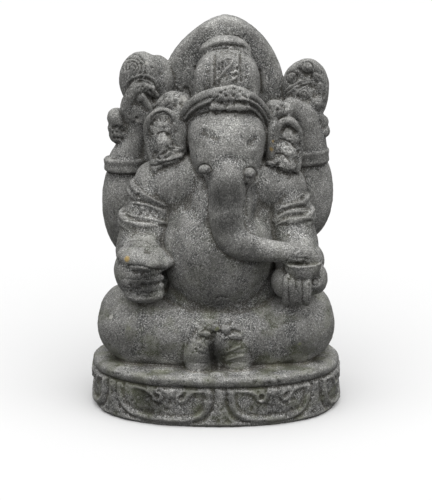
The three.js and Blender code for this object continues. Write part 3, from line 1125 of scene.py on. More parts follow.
class Chisel:
    """Raises and cuts fine carving on the stone by moving its points along their normals."""

    def __init__(self, stone: Piece, camera: PhotoCamera) -> None:
        """Takes up the stone and reads its surface.

        Args:
            stone: the fused stone.
            camera: the camera through which pixels are placed on the stone.
        """
        self.stone = stone
        self.camera = camera
        self.sharpen()

    def sharpen(self) -> None:
        """Reads the surface again, after its points have moved."""
        self.points = read_points(self.stone.data)
        self.normals = read_points(self.stone.data, "normal")
        self.tree = KDTree(len(self.points))
        for index, point in enumerate(self.points):
            self.tree.insert(point, index)
        self.tree.balance()
        bpy.context.view_layer.update()
        self.surface = BVHTree.FromObject(self.stone, bpy.context.evaluated_depsgraph_get())
        self.push = np.zeros(len(self.points))

    def strike(self) -> None:
        """Moves the points by what the strokes have added up to."""
        write_points(self.stone.data, self.points + self.normals * self.push[:, None])
        self.sharpen()

    def spot(self, pixel: Pair) -> Vector | None:
        """Where a pixel of the photograph falls on the stone."""
        return self.surface.ray_cast(self.camera.place(), self.camera.ray(pixel))[0]

    def trail(self, line: Line) -> list[Vector]:
        """Places on the stone, close together, along a smooth line of pixels.

        Args:
            line: the pixels that the line runs through.

        Returns:
            The places, in metres.
        """
        length = sum(math.dist(a, b) for a, b in zip(line, line[1:]))
        pixels = smooth_line(line, np.linspace(0, 1, max(3, round(length * 2))))
        found = (self.spot((pixel[0], pixel[1])) for pixel in pixels)
        return [place for place in found if place is not None]

    def touch(self, places: Sequence[Vector], reach: float) -> tuple[np.ndarray, np.ndarray]:
        """The stone's points near some places.

        Args:
            places: the places, in metres.
            reach: how near a point has to be, in millimetres.

        Returns:
            The points' numbers, and how near each is as a share of the reach.
        """
        limit = reach * MM
        nearest: dict[int, float] = {}
        for place in places:
            for _, index, gap in self.tree.find_range(place, limit):
                if gap < nearest.get(index, limit):
                    nearest[index] = gap
        numbers = np.fromiter(nearest.keys(), int, len(nearest))
        return numbers, np.fromiter(nearest.values(), float, len(nearest)) / limit

    def press(
        self, places: Sequence[Vector], reach: float, depth: float, edge: Edge = Edge.SOFT
    ) -> None:
        """Raises the stone near some places, or sinks it where the depth is below 0.

        Args:
            places: the places, in metres.
            reach: how far from them the stone moves, in millimetres.
            depth: how far it moves, in millimetres.
            edge: how steep the sides are.
        """
        numbers, gap = self.touch(places, reach)
        self.push[numbers] += depth * MM * (1 - gap**2) ** edge.value

    def dab(self, pixel: Pair, radius: float, depth: float, edge: Edge = Edge.SOFT) -> None:
        """Raises a round knob at a pixel, or sinks a pit where the depth is below 0.

        Args:
            pixel: its middle.
            radius: its radius in millimetres.
            depth: its height in millimetres.
            edge: how steep its sides are.
        """
        place = self.spot(pixel)
        if place is not None:
            self.press([place], radius, depth, edge)


@dataclass(frozen=True)
class Strokes:
    """Ridges along lines of pixels, or grooves where the depth is below 0, in millimetres."""

    width: float
    depth: float
    lines: tuple[Line, ...]
    edge: Edge = Edge.SOFT

    def cut(self, chisel: Chisel) -> None:
        """Cuts them into the stone."""
        for line in self.lines:
            chisel.press(chisel.trail(line), self.width / 2, self.depth, self.edge)


@dataclass(frozen=True)
class Dabs:
    """Round knobs at pixels, or pits where the depth is below 0, in millimetres."""

    radius: float
    depth: float
    pixels: Line
    edge: Edge = Edge.SOFT

    def cut(self, chisel: Chisel) -> None:
        """Cuts them into the stone."""
        for pixel in self.pixels:
            chisel.dab(pixel, self.radius, self.depth, self.edge)


@dataclass(frozen=True)
class Arcs:
    """Ridges round pixels, or grooves where the depth is below 0, in millimetres.

    Their radii are in pixels. They run from a start to an end in degrees, with 0 to the right and
    90 up.
    """

    width: float
    depth: float
    radii: tuple[float, ...]
    centres: Line
    start: float = 0.0
    end: float = 360.0
    points: int = 9

    def cut(self, chisel: Chisel) -> None:
        """Cuts them into the stone.

        Args:
            chisel: the chisel.
        """
        angles = np.radians(np.linspace(self.start, self.end, self.points))
        for x, y in self.centres:
            for radius in self.radii:
                line = tuple((x + radius * math.cos(a), y - radius * math.sin(a)) for a in angles)
                Strokes(self.width, self.depth, (line,)).cut(chisel)


@dataclass(frozen=True)
class Carving:
    """Groups of strokes that are cut in the order in which they are listed."""

    def carve(self, chisel: Chisel) -> None:
        """Cuts every group into the stone."""
        for group in fields(self):
            getattr(self, group.name).cut(chisel)


@dataclass(frozen=True)
class FaceCarving(Carving):
    """The sunken eyes, the hollows round the tusks and the cleft between face and ears."""

    right_eye: Strokes = Strokes(20, -1.9, (((204, 134), (209, 136), (215, 139.5)),))
    left_eye: Strokes = Strokes(18, -2.4, (((250.5, 144), (252.5, 142), (255, 139.5)),))
    right_lids: Strokes = Strokes(6, 0.5, (
        ((203, 127), (210, 128), (217, 132.5)),
        ((204, 138.5), (210, 140), (216, 142.5)),
    ))
    eye_pits: Dabs = Dabs(
        3, -0.8, ((206, 135), (212, 137.5), (250.5, 144), (253, 142), (255.5, 139), (253.5, 145))
    )
    right_tusk_groove: Arcs = Arcs(3.6, -2.4, (6.8,), ((204.6, 171),), 5, 175)
    left_tusk_groove: Arcs = Arcs(3.6, -2.4, (6.4,), ((250.3, 173.5),), -20, 165)
    right_pocket: Strokes = Strokes(11, -3.2, (((203.5, 178), (203.5, 183), (204, 188)),))
    pocket_edges: Strokes = Strokes(3.6, 1.4, (
        ((195.5, 177), (196.5, 183), (198.5, 189)),
        ((256.5, 170), (258, 175), (257, 181), (251, 186.5)),
    ))
    trunk_shadow: Strokes = Strokes(7, -2.4, (((246.5, 184), (247, 196), (247, 214)),))
    trunk_edge: Strokes = Strokes(3.6, 0.9, (((208.4, 176), (208.8, 190), (209.4, 212)),))
    clefts: Strokes = Strokes(6, -1.8, (
        ((188, 128), (187, 141), (188.5, 153), (192, 163)),
        ((266, 128), (266.5, 143), (264.5, 156), (260.5, 168)),
    ))


@dataclass(frozen=True)
class HairCarving(Carving):
    """The upright locks of the crown, the knot on its panel and the pierced diadem."""

    lock_edges: Strokes = Strokes(5, -2.4, (
        ((195.4, 67), (195, 80), (195.4, 92)),
        ((214.4, 54), (214.2, 68), (214.8, 85)),
        ((240.6, 54), (241, 66), (241.6, 80)),
        ((259.2, 70), (260.5, 80), (261, 92)),
    ), Edge.CRISP)
    lock_ridges: Strokes = Strokes(4.4, 1.5, (
        ((212, 55), (211.6, 70), (212, 86)),
        ((243.2, 53), (243.6, 62), (244, 70)),
        ((197.6, 68), (197.4, 80), (197.8, 90)),
        ((237.4, 53), (237.6, 60), (237.8, 66)),
    ))
    knot: Strokes = Strokes(4.8, 2.4, (
        ((219.5, 63), (223, 60.5), (229, 58.5), (232, 61), (229.5, 66), (224, 72), (218, 80)),
        ((232, 73), (236, 71.5), (237, 76), (232, 80)),
        ((216.5, 70), (217.5, 76), (216.5, 83)),
    ))
    scallops: Strokes = Strokes(5, 1.6, (((216.5, 53.5), (222, 51.5), (227, 53.5), (232, 52), (237, 54)),))
    hollow: Strokes = Strokes(
        4.6, -1.8, (((203, 54), (209, 51), (217, 49), (226, 48.2), (235, 48.8), (242, 51), (248, 54.5)),)
    )
    halo_line: Strokes = Strokes(
        4, -0.8, (((205.5, 45), (210, 40.5), (217, 37), (228, 35), (238, 36.4), (246, 42.5)),)
    )
    band_grooves: Strokes = Strokes(4.6, -1.8, (
        ((184.5, 116), (191, 107.5), (201, 101), (211, 97)),
        ((185.5, 122.5), (191, 115.3), (200, 109), (210, 105)),
        ((243, 95.5), (254, 100.5), (263, 109), (269, 119)),
        ((242, 103), (254, 107.5), (262, 116), (266.5, 127)),
    ))
    band_ridges: Strokes = Strokes(4.6, 2.2, (
        ((184.6, 119.5), (190, 112), (200, 105), (211, 100.5)),
        ((187, 124.5), (192.5, 118.3), (199.5, 112.8), (208, 110)),
        ((237, 99), (246, 99.5), (256, 104), (263, 111), (268, 121)),
        ((247, 107), (255.5, 111), (262.5, 120), (266, 132)),
    ))
    pits: Dabs = Dabs(2.5, -2.6, (
        (221.8, 66.8), (220.4, 92.9), (224.7, 89.8), (226, 96), (240.4, 91.2), (233.5, 96.5),
        (216.4, 97.5), (246, 97), (229, 101.5), (239.5, 102), (222, 103), (213, 101),
        (234, 88.5),
    ))
    lip: Strokes = Strokes(3.6, -1.2, ((
        (211.5, 112.3), (216, 113), (220.5, 112.6), (224.7, 110.8), (229, 112.6), (235, 111.2),
        (239.5, 113), (246, 112.6),
    ),))


@dataclass(frozen=True)
class EarCarving(Carving):
    """The hollows, creases and frills of the ears and the rough hair behind them."""

    hollows: Strokes = Strokes(8, -3.4, (
        ((152, 119), (156.5, 115), (163, 113), (169, 117), (171, 124)),
        ((281.5, 131), (285.5, 127), (291, 127.5), (296, 132)),
    ))
    frills: Strokes = Strokes(4.4, 2.0, (
        ((157, 157), (163, 150.6), (169.5, 147), (175.5, 147.6), (182, 148.4)),
        ((160, 161), (166, 154.6), (172, 151), (180, 150)),
        ((158, 160.5), (165.5, 160), (174, 158.4), (181, 156)),
        ((267, 162.5), (271, 162.6), (275.5, 164)),
        ((274.5, 170), (278, 166), (286, 169.5), (294, 174.5)),
    ))
    creases: Strokes = Strokes(3.6, -2.2, (
        ((279, 139), (286.5, 141), (291.5, 144), (295.4, 148)),
        ((276, 153.3), (282.6, 154.6), (289, 160), (294, 165.5)),
        ((157.5, 134.8), (162.5, 132), (168, 134), (172, 140), (174, 148)),
        ((155, 152), (157, 157), (161, 159.6)),
        ((166, 158), (172, 154.5), (180, 152.6)),
        ((163, 163), (170, 161.6), (180, 158.6)),
        ((150, 165.5), (156, 165.8), (160.5, 164.6)),
        ((262, 164.5), (268, 166), (275, 165.4)),
        ((276, 167), (283, 168.5), (291, 172), (299, 175)),
        ((188, 88), (189.5, 92), (190.5, 96)),
        ((153.5, 109.5), (160, 102.5), (166, 96)),
    ))
    tufts: Dabs = Dabs(4.4, 1.4, (
        (166, 94), (173, 93), (180, 92.6), (271, 105), (277, 107), (283, 104.6), (275, 114),
        (281, 113), (288, 110),
    ))


@dataclass(frozen=True)
class HandCarving(Carving):
    """The grooves of the tuft and of what the left hand holds, and the lines of the hands."""

    shell: Arcs = Arcs(3.8, -2.0, (3.2, 6.4, 10, 14), ((131.8, 67.8),), 200, -50)
    shell_band: Strokes = Strokes(5.2, 2.4, (
        ((125.5, 86), (130, 80), (137, 76), (146, 75.4), (153, 79), (157.5, 86)),
        ((130, 88), (135, 82.6), (142, 80.4), (150, 83), (154, 89)),
    ))
    tuft_hollow: Strokes = Strokes(11, -5, (((150, 92), (153, 96), (155, 101)),))
    wrist_pit: Dabs = Dabs(3.4, -3, ((136.8, 118.4),))
    tassel_pits: Dabs = Dabs(2.7, -3.2, (
        (113, 128), (117, 126.5), (121, 129), (112, 133), (116, 132), (120.5, 134), (114, 138),
        (118, 138.4), (122.5, 139), (124, 131), (117, 143),
    ))
    fist_crease: Strokes = Strokes(
        3.2, -1.4, (((121.7, 246), (126.7, 242.2), (136.7, 240.4), (145.5, 241.2), (150.5, 244)),)
    )
    stump_hollow: Dabs = Dabs(7, -1.6, (STUMP,), Edge.CRISP)
    stump_rim: Arcs = Arcs(2.4, 0.8, (5,), (STUMP,))
    fist_shadow: Strokes = Strokes(
        5.5, -2.4, (((129, 266), (140, 266), (150, 268.5), (160, 270), (169, 268)),)
    )
    finger_lines: Strokes = Strokes(3.4, -0.9, (
        ((121, 278.5), (132, 279.5), (146, 280), (161, 278.5)),
        ((122, 287), (132, 288.4), (146, 289), (161, 287.5)),
        ((124, 295), (134, 296.6), (146, 297), (160, 295)),
    ))
    thumb_recess: Strokes = Strokes(12, -4, (((166, 273), (167, 282), (166, 290)),))
    trunk_tip: Strokes = Strokes(6, -2.2, (((297, 259), (303, 258), (309, 259.5)),))
    bowl_lip: Strokes = Strokes(
        4.4, 1.6, (((284.7, 262.8), (291, 266.8), (303.5, 267.8), (314.7, 266), (321, 263.8)),)
    )
    hook_recess: Strokes = Strokes(6, -3.4, (((299, 69), (303, 73.5), (309, 75), (315, 72)),))
    rosette_rings: Arcs = Arcs(3.4, -2.4, (6,), ROSETTES)
    rosette_knobs: Dabs = Dabs(5, 2.2, ROSETTES)
    rosette_hearts: Arcs = Arcs(2, -1.2, (1.9,), ROSETTES)
    hook_folds: Strokes = Strokes(4.2, 2.4, (
        ((285.8, 91), (290, 87), (296.6, 83), (305, 80.6), (313, 79.6)),
        ((287.5, 94), (292, 90.4), (298.5, 86), (306, 83), (313.5, 82)),
    ))
    hook_oval: Arcs = Arcs(2.4, -1.2, (3.0, 6.0), ((304, 95),))
    beads: Dabs = Dabs(2.3, -1.9, (
        (318.5, 78), (322, 82), (324, 87), (324.5, 92), (323.5, 97), (320, 88), (319, 94),
        (315, 86), (325, 102), (322.5, 108), (317, 81.5), (321, 73),
    ))
    bud_ring: Arcs = Arcs(2.2, -1, (2.8,), ((316.8, 103.8),))
    finger_gaps: Strokes = Strokes(3.2, -2.2, (
        ((289, 279), (288.8, 290), (289.2, 302)),
        ((295.6, 280), (295.8, 286), (296, 290)),
        ((302, 279), (302.6, 290), (302.4, 302.5)),
        ((309.6, 284), (309.6, 292), (309, 301)),
    ))
    curl: Arcs = Arcs(2.6, -1.5, (3.4,), ((315.5, 282.5),), 0, 320)


@dataclass(frozen=True)
class BodyCarving(Carving):
    """The slanting ridges and loops of the armlets, the navel fold, the hems and the soles."""

    armlet_grooves: Strokes = Strokes(4.4, -1.8, (
        ((136, 200), (146, 202.6), (156, 206), (166, 208.4)),
        ((123.5, 219.6), (136, 220.6), (150, 222.4), (166, 227)),
        ((278, 214), (286, 210.4), (297, 207.2), (308, 207.2)),
        ((277, 222.4), (286, 217.6), (297, 215), (311, 214.8)),
    ))
    armlet_ridges: Strokes = Strokes(4.6, 2.3, (
        ((135, 186), (140, 189.8), (143.8, 194), (150, 198), (157, 202), (165, 205)),
        ((132.5, 202.5), (141, 204), (151, 206.6), (160, 211)),
        ((122.5, 216), (126.5, 214), (135, 216.4), (151, 219.2), (166, 223.4)),
        ((277.6, 210), (285.4, 206.6), (297, 203.2), (305.4, 203.7)),
        ((277, 218), (288, 213), (298, 211.6), (309.7, 211.4)),
        ((275.6, 226), (283, 221.6), (291, 219.4), (302, 218.4), (312.6, 218.5)),
    ))
    loops: Arcs = Arcs(3.2, 1.8, (3.6,), LOOPS)
    loop_hollows: Dabs = Dabs(2.4, -1.6, LOOPS)
    armlet_pits: Dabs = Dabs(2.2, -1.5, (
        (138, 209), (144, 210), (150, 212), (156, 214), (141, 213), (148, 215.5), (160, 217),
        (133, 210), (154, 216.6),
    ))
    navel: Strokes = Strokes(4, -1.4, (((216, 298.5), (221, 297), (227, 298.5)),))
    foot_gap: Strokes = Strokes(14, -4, (((213.5, 334), (213, 343), (212.5, 354), (214, 367)),))
    toe_notches: Strokes = Strokes(5.6, -3.2, (
        ((202, 330.4), (206, 329.6), (211, 331)),
        ((231, 331), (235, 330.4), (239.5, 331.6)),
        ((199.5, 338.5), (203, 337.6), (208, 339)),
    ))
    foot_ridges: Strokes = Strokes(4, 1.7, (
        ((201, 333.6), (206, 333.2), (211, 334.6)),
        ((197.5, 341), (202, 344.6), (208, 348.6)),
        ((228, 336.4), (234, 336), (240, 336.8)),
        ((225, 352), (232, 350), (240, 346.4)),
        ((226, 360.4), (235, 357.6), (243, 356)),
    ))
    hems: Strokes = Strokes(4.6, 1.3, (
        ((195.4, 311.5), (192, 320), (188, 333), (185, 348), (184.5, 361)),
        ((250.4, 314), (251.6, 330), (252.2, 346), (253, 361)),
    ))
    sole_lines: Strokes = Strokes(3.6, -1.0, (
        ((225, 341), (233, 340), (242, 341)),
        ((222, 356), (232, 354), (244, 353)),
        ((223, 364), (234, 362.6), (246, 362)),
        ((191, 353), (199, 352), (208, 355)),
        ((190, 362), (199, 363.6), (208, 363)),
    ))


@dataclass(frozen=True)
class Weather:
    """What time has done to the stone: soft lumps, a gritty skin, open pits and small knocks.

    Each rough place has its middle and spread in pixels and its number of knocks.
    """

    lump_size: float = 32.0
    lump_height: float = 1.8
    grit_size: float = 5.5
    grit_height: float = 0.9
    pits: int = 900
    pit_radius: Pair = (1.8, 3.6)
    pit_depth: Pair = (0.5, 1.1)
    knock_radius: Pair = (2.0, 4.2)
    knock_depth: Pair = (-1.5, 1.0)
    seed: int = 7
    rough: tuple[tuple[Pair, float, int], ...] = (
        ((163, 128), 13, 90), ((166, 153), 14, 110), ((289, 145), 14, 100), ((285, 168), 12, 80),
        ((176, 97), 14, 80), ((278, 108), 11, 60), ((118, 133), 10, 70), ((134, 72), 19, 70),
        ((311, 84), 19, 90), ((228, 68), 19, 80), ((229, 98), 22, 100), ((214, 338), 22, 150),
        ((142, 284), 17, 80), ((152, 405), 24, 150), ((274, 402), 24, 150), ((110, 400), 16, 60),
        ((325, 395), 16, 80), ((216, 408), 22, 80), ((300, 268), 18, 50), ((130, 107), 16, 50),
        ((120, 378), 14, 50), ((165, 385), 22, 80), ((215, 389), 22, 80), ((265, 385), 22, 80),
        ((312, 378), 14, 50), ((204.6, 171), 6, 14), ((250.3, 174), 6, 14),
    )

    def skin(self, stone: Piece, name: str, size: float, height: float) -> None:
        """Moves the stone's skin by a cloud pattern.

        Args:
            stone: the stone.
            name: the pattern's name.
            size: the pattern's size in millimetres.
            height: how far it moves the skin, in millimetres.
        """
        cloud = bpy.data.textures.new(name, "CLOUDS")
        cloud.noise_scale = size * MM
        cloud.noise_depth = 2
        change(stone, "DISPLACE", texture=cloud, texture_coords="LOCAL", strength=height * MM, mid_level=0.5)

    def open_pits(self, chisel: Chisel, chance: np.random.Generator) -> None:
        """Sinks pits anywhere in the stone.

        Args:
            chisel: the chisel.
            chance: the source of chance.
        """
        for number in chance.choice(len(chisel.points), self.pits, replace=False):
            radius = chance.uniform(*self.pit_radius)
            chisel.press([Vector(chisel.points[number])], radius, -chance.uniform(*self.pit_depth))

    def roughen(self, chisel: Chisel, chance: np.random.Generator) -> None:
        """Breaks up the skin with small knocks where the carving is coarse.

        Args:
            chisel: the chisel.
            chance: the source of chance.
        """
        for middle, spread, knocks in self.rough:
            for _ in range(knocks):
                angle = chance.uniform(0, math.tau)
                away = spread * math.sqrt(chance.uniform(0, 1))
                pixel = (middle[0] + away * math.cos(angle), middle[1] + away * math.sin(angle))
                chisel.dab(pixel, chance.uniform(*self.knock_radius), chance.uniform(*self.knock_depth))

    def wear(self, stone: Piece, camera: PhotoCamera) -> None:
        """Roughens the stone's skin and opens pits in it.

        Args:
            stone: the stone.
            camera: the camera that the chisel needs.
        """
        self.skin(stone, "lumps", self.lump_size, self.lump_height)
        self.skin(stone, "grit", self.grit_size, self.grit_height)
        chisel = Chisel(stone, camera)
        chance = np.random.default_rng(self.seed)
        self.open_pits(chisel, chance)
        self.roughen(chisel, chance)
        chisel.strike()


@dataclass(frozen=True)
class AgeingAndPaintedLight:
    """Where dirt, moss, stains and wear lie on the stone, and where light and shade are painted on it, kept
    as values of its points.

    Each stain has its pixel, its radius in millimetres and its strength.
    """

    ochre: tuple[Stain, ...] = (
        ((127, 259), 6.5, 1.0), ((271.5, 149), 5, 0.9), ((273, 141), 3.5, 0.8),
    )
    moss: tuple[Stain, ...] = (((217, 329), 5, 1.0), ((128, 328), 5, 0.7), ((300, 344), 4.5, 0.8))
    pale: tuple[Stain, ...] = (
        ((146.5, 63), 4.5, 1.0), ((183, 100), 9, 0.8), ((260.4, 401.5), 3.2, 1.0),
        ((289.8, 401), 3.4, 1.0), ((155, 131), 9, 0.5), ((138, 121), 5.5, 0.8),
        ((165, 142), 12, 0.3), ((176, 152), 9, 0.5), ((111, 317), 5, 1.0),
    )
    # Patches of painted light, which also stand for rain-washed stone: lighter where light falls stronger,
    # as on the brow, the ears and the rim's top.
    washed_and_painted_light: tuple[Stain, ...] = (
        ((226, 122), 36, 0.52), ((222, 30), 34, 0.7), ((166, 130), 22, 0.65), ((287, 150), 26, 0.7),
        ((150, 228), 24, 0.6), ((297, 230), 24, 0.34), ((326, 196), 30, 0.25), ((112, 195), 30, 0.1),
        ((130, 364), 22, 0.9), ((165, 368), 22, 1.0), ((196, 372), 20, 0.9), ((240, 371), 20, 0.9),
        ((272, 366), 22, 1.0), ((304, 362), 22, 0.8), ((228, 75), 34, 0.32), ((270, 72), 28, 0.3),
        ((181, 72), 28, 0.3),
    )
    # Patches of painted shade, which also stand for damp stone: darker where shade falls, as under the head,
    # under the fist, between the feet and low on the base.
    damp_and_painted_shade: tuple[Stain, ...] = (
        ((226, 196), 34, 0.97), ((228, 222), 26, 0.75), ((247, 250), 24, 0.55), ((145, 284), 26, 0.85),
        ((206, 268), 44, 0.36), ((215, 296), 26, 0.4), ((294, 292), 20, 0.5), ((136, 76), 26, 0.55),
        ((118, 134), 18, 0.4), ((122, 163), 18, 0.22), ((317, 158), 20, 0.4), ((213, 352), 26, 0.95),
        ((253, 190), 12, 0.55), ((254, 210), 12, 0.5), ((150, 402), 28, 0.6), ((185, 185), 26, 0.2),
        ((125, 332), 42, 0.18), ((303, 332), 42, 0.14), ((275, 402), 28, 0.15),
    )
    stain_edge: float = 0.7
    # Painted shade on the upright face of the base's rim.
    rim_painted_shade: float = 0.4
    rim_foot: Pair = (49.0, 53.0)
    rim_brow: Pair = (59.0, 65.0)
    rim_slope: Pair = (0.3, 0.8)
    reach: float = 40.0
    ray_lift: float = 1.2
    ray_spread: float = 0.95
    rays: int = 20
    seed: int = 3
    smoothing: int = 6

    def shelter(self, chisel: Chisel) -> np.ndarray:
        """How much of the open air each point can't see within reach, from 0 to 1.

        Args:
            chisel: the chisel.

        Returns:
            One value for each point of the stone.
        """
        chance = np.random.default_rng(self.seed)
        ways = chance.normal(size=(self.rays, 3))
        ways /= np.linalg.norm(ways, axis=1)[:, None]
        blocked = np.zeros(len(chisel.points))
        starts = chisel.points + chisel.normals * (self.ray_lift * MM)
        reach = self.reach * MM
        cast = chisel.surface.ray_cast
        for way in ways:
            aim = chisel.normals + way * self.ray_spread
            aim /= np.linalg.norm(aim, axis=1)[:, None]
            blocked += [cast(Vector(a), Vector(b), reach)[0] is not None for a, b in zip(starts, aim)]
        return blocked / len(ways)

    def hollows(self, chisel: Chisel) -> np.ndarray:
        """How many millimetres each point lies below its surroundings, about 0 on flat stone.

        Args:
            chisel: the chisel.

        Returns:
            One value for each point of the stone.
        """
        mesh = chisel.stone.data
        edges = np.empty(len(mesh.edges) * 2, np.int32)
        mesh.edges.foreach_get("vertices", edges)
        first, second = edges.reshape(-1, 2).T
        count = np.bincount(edges, minlength=len(chisel.points))[:, None]
        soft = chisel.points.copy()
        for _ in range(self.smoothing):
            total = np.zeros_like(soft)
            for axis in range(3):
                total[:, axis] += np.bincount(first, soft[second, axis], len(soft))
                total[:, axis] += np.bincount(second, soft[first, axis], len(soft))
            soft = total / count
        return ((soft - chisel.points) * chisel.normals).sum(axis=1) / MM

    def stains(self, chisel: Chisel, spots: tuple[Stain, ...]) -> np.ndarray:
        """Round stains, and round patches of painted light and painted shade, with soft edges.

        Args:
            chisel: the chisel that finds the pixels on the stone.
            spots: the stains.

        Returns:
            One value for each point of the stone.
        """
        values = np.zeros(len(chisel.points))
        for pixel, radius, strength in spots:
            place = chisel.spot(pixel)
            if place is None:
                continue
            numbers, gap = chisel.touch([place], radius)
            stain = strength * step_up(1 - gap, 0, self.stain_edge)
            values[numbers] = np.maximum(values[numbers], stain)
        return values

    def rim_face(self, chisel: Chisel) -> np.ndarray:
        """Which points lie on the upright face of the base's rim, from 0 to 1.

        Args:
            chisel: the chisel.

        Returns:
            One value for each point of the stone.
        """
        height = chisel.points[:, 2] / MM
        band = step_up(height, *self.rim_foot) * (1 - step_up(height, *self.rim_brow))
        return band * (1 - step_up(chisel.normals[:, 2], *self.rim_slope))

    def apply(self, stone: Piece, camera: PhotoCamera) -> None:
        """Works out all of the values and keeps them under their names.

        Args:
            stone: the finished stone.
            camera: the camera that the chisel needs.
        """
        chisel = Chisel(stone, camera)
        # Painted shade: the damp patches, and the upright face of the rim darkened.
        damp_and_painted_shade = np.maximum(self.stains(chisel, self.damp_and_painted_shade), self.rim_painted_shade * self.rim_face(chisel))
        values = {
            "shelter": self.shelter(chisel),
            "hollow": self.hollows(chisel),
            "ochre": self.stains(chisel, self.ochre),
            "moss": self.stains(chisel, self.moss),
            "pale": self.stains(chisel, self.pale),
            "washed_and_painted_light": self.stains(chisel, self.washed_and_painted_light),
            "damp_and_painted_shade": damp_and_painted_shade,
        }
        for name, value in values.items():
            attribute = stone.data.attributes.new(name, "FLOAT", "POINT")
            attribute.data.foreach_set("value", value.astype(np.float32))


class Bench:
    """Adds nodes to one node tree and links them."""

    def __init__(self, tree: bpy.types.NodeTree) -> None:
        """Takes the tree and empties it."""
        self.tree = tree
        tree.nodes.clear()

    def node(self, kind: str, inputs: dict[str | int, Value], **settings: object) -> bpy.types.Node:
        """Adds a node.

        Args:
            kind: the node's type, without the word ShaderNode in front.
            inputs: a value or another node's socket for each input, by name or number.
            settings: the node's own options.

        Returns:
            The new node.
        """
        made = self.tree.nodes.new("ShaderNode" + kind)
        for name, value in settings.items():
            setattr(made, name, value)
        for name, value in inputs.items():
            if isinstance(value, Socket):
                self.tree.links.new(value, made.inputs[name])
            else:
                made.inputs[name].default_value = value
        return made

    def math(self, operation: str, *values: Value) -> Socket:
        """The result of a sum on sockets or numbers."""
        return self.node("Math", dict(enumerate(values)), operation=operation).outputs[0]

    def product(self, first: Value, second: Value) -> Socket:
        """Two values multiplied."""
        return self.math("MULTIPLY", first, second)

    def scaled(self, value: Value, factor: Value, offset: Value) -> Socket:
        """A value multiplied by a factor, plus an offset."""
        return self.math("MULTIPLY_ADD", value, factor, offset)

    def rest(self, value: Value) -> Socket:
        """What a value leaves of 1."""
        return self.math("SUBTRACT", 1.0, value)

    def span(self, value: Value, low: float, high: float) -> Socket:
        """A value that rises softly from 0 at low to 1 at high."""
        inputs = {"Value": value, "From Min": low, "From Max": high}
        return self.node("MapRange", inputs, interpolation_type="SMOOTHSTEP").outputs[0]

    def ramp(self, value: Value, ends: Pair, results: Pair) -> Socket:
        """A value carried in a straight line from one pair of ends to another."""
        names = ("From Min", "From Max", "To Min", "To Max")
        return self.node("MapRange", {"Value": value, **dict(zip(names, ends + results))}).outputs[0]

    def mix(self, share: Value, first: Value, second: Value, blend: str = "MIX") -> Socket:
        """A mix of two colours."""
        inputs = {0: share, 6: first, 7: second}
        return self.node("Mix", inputs, data_type="RGBA", blend_type=blend).outputs[2]

    def noise(self, place: Socket, size: float, detail: float, rough: float = 0.55) -> Socket:
        """A cloud pattern whose features are about so many millimetres across."""
        inputs = {"Vector": place, "Scale": 1 / (size * MM), "Detail": detail, "Roughness": rough}
        return self.node("TexNoise", inputs).outputs["Fac"]

    def cells(self, place: Socket, size: float, channel: int) -> tuple[Socket, Socket]:
        """A pattern of cells about so many millimetres across.

        Args:
            place: the socket with the place on the stone.
            size: the cells' size.
            channel: which of the cells' three chance values is given.

        Returns:
            The distance from each cell's middle, and the cell's own chance value.
        """
        cells = self.node("TexVoronoi", {"Vector": place, "Scale": 1 / (size * MM)})
        values = self.node("SeparateColor", {0: cells.outputs["Color"]}).outputs
        return cells.outputs["Distance"], values[channel]

    def height(self, vector: Socket) -> Socket:
        """The part of a vector that points up."""
        return self.node("SeparateXYZ", {0: vector}).outputs[2]

    def kept(self, name: str) -> Socket:
        """A value that the stone's points carry."""
        return self.node("Attribute", {}, attribute_name=name).outputs["Fac"]


@dataclass(frozen=True)
class Patterns:
    """The sockets of the patterns that make the stone's colour and relief."""

    place: Socket
    cloud: Socket
    grain: Socket
    speck: Socket
    crumb: Socket
    pit: Socket


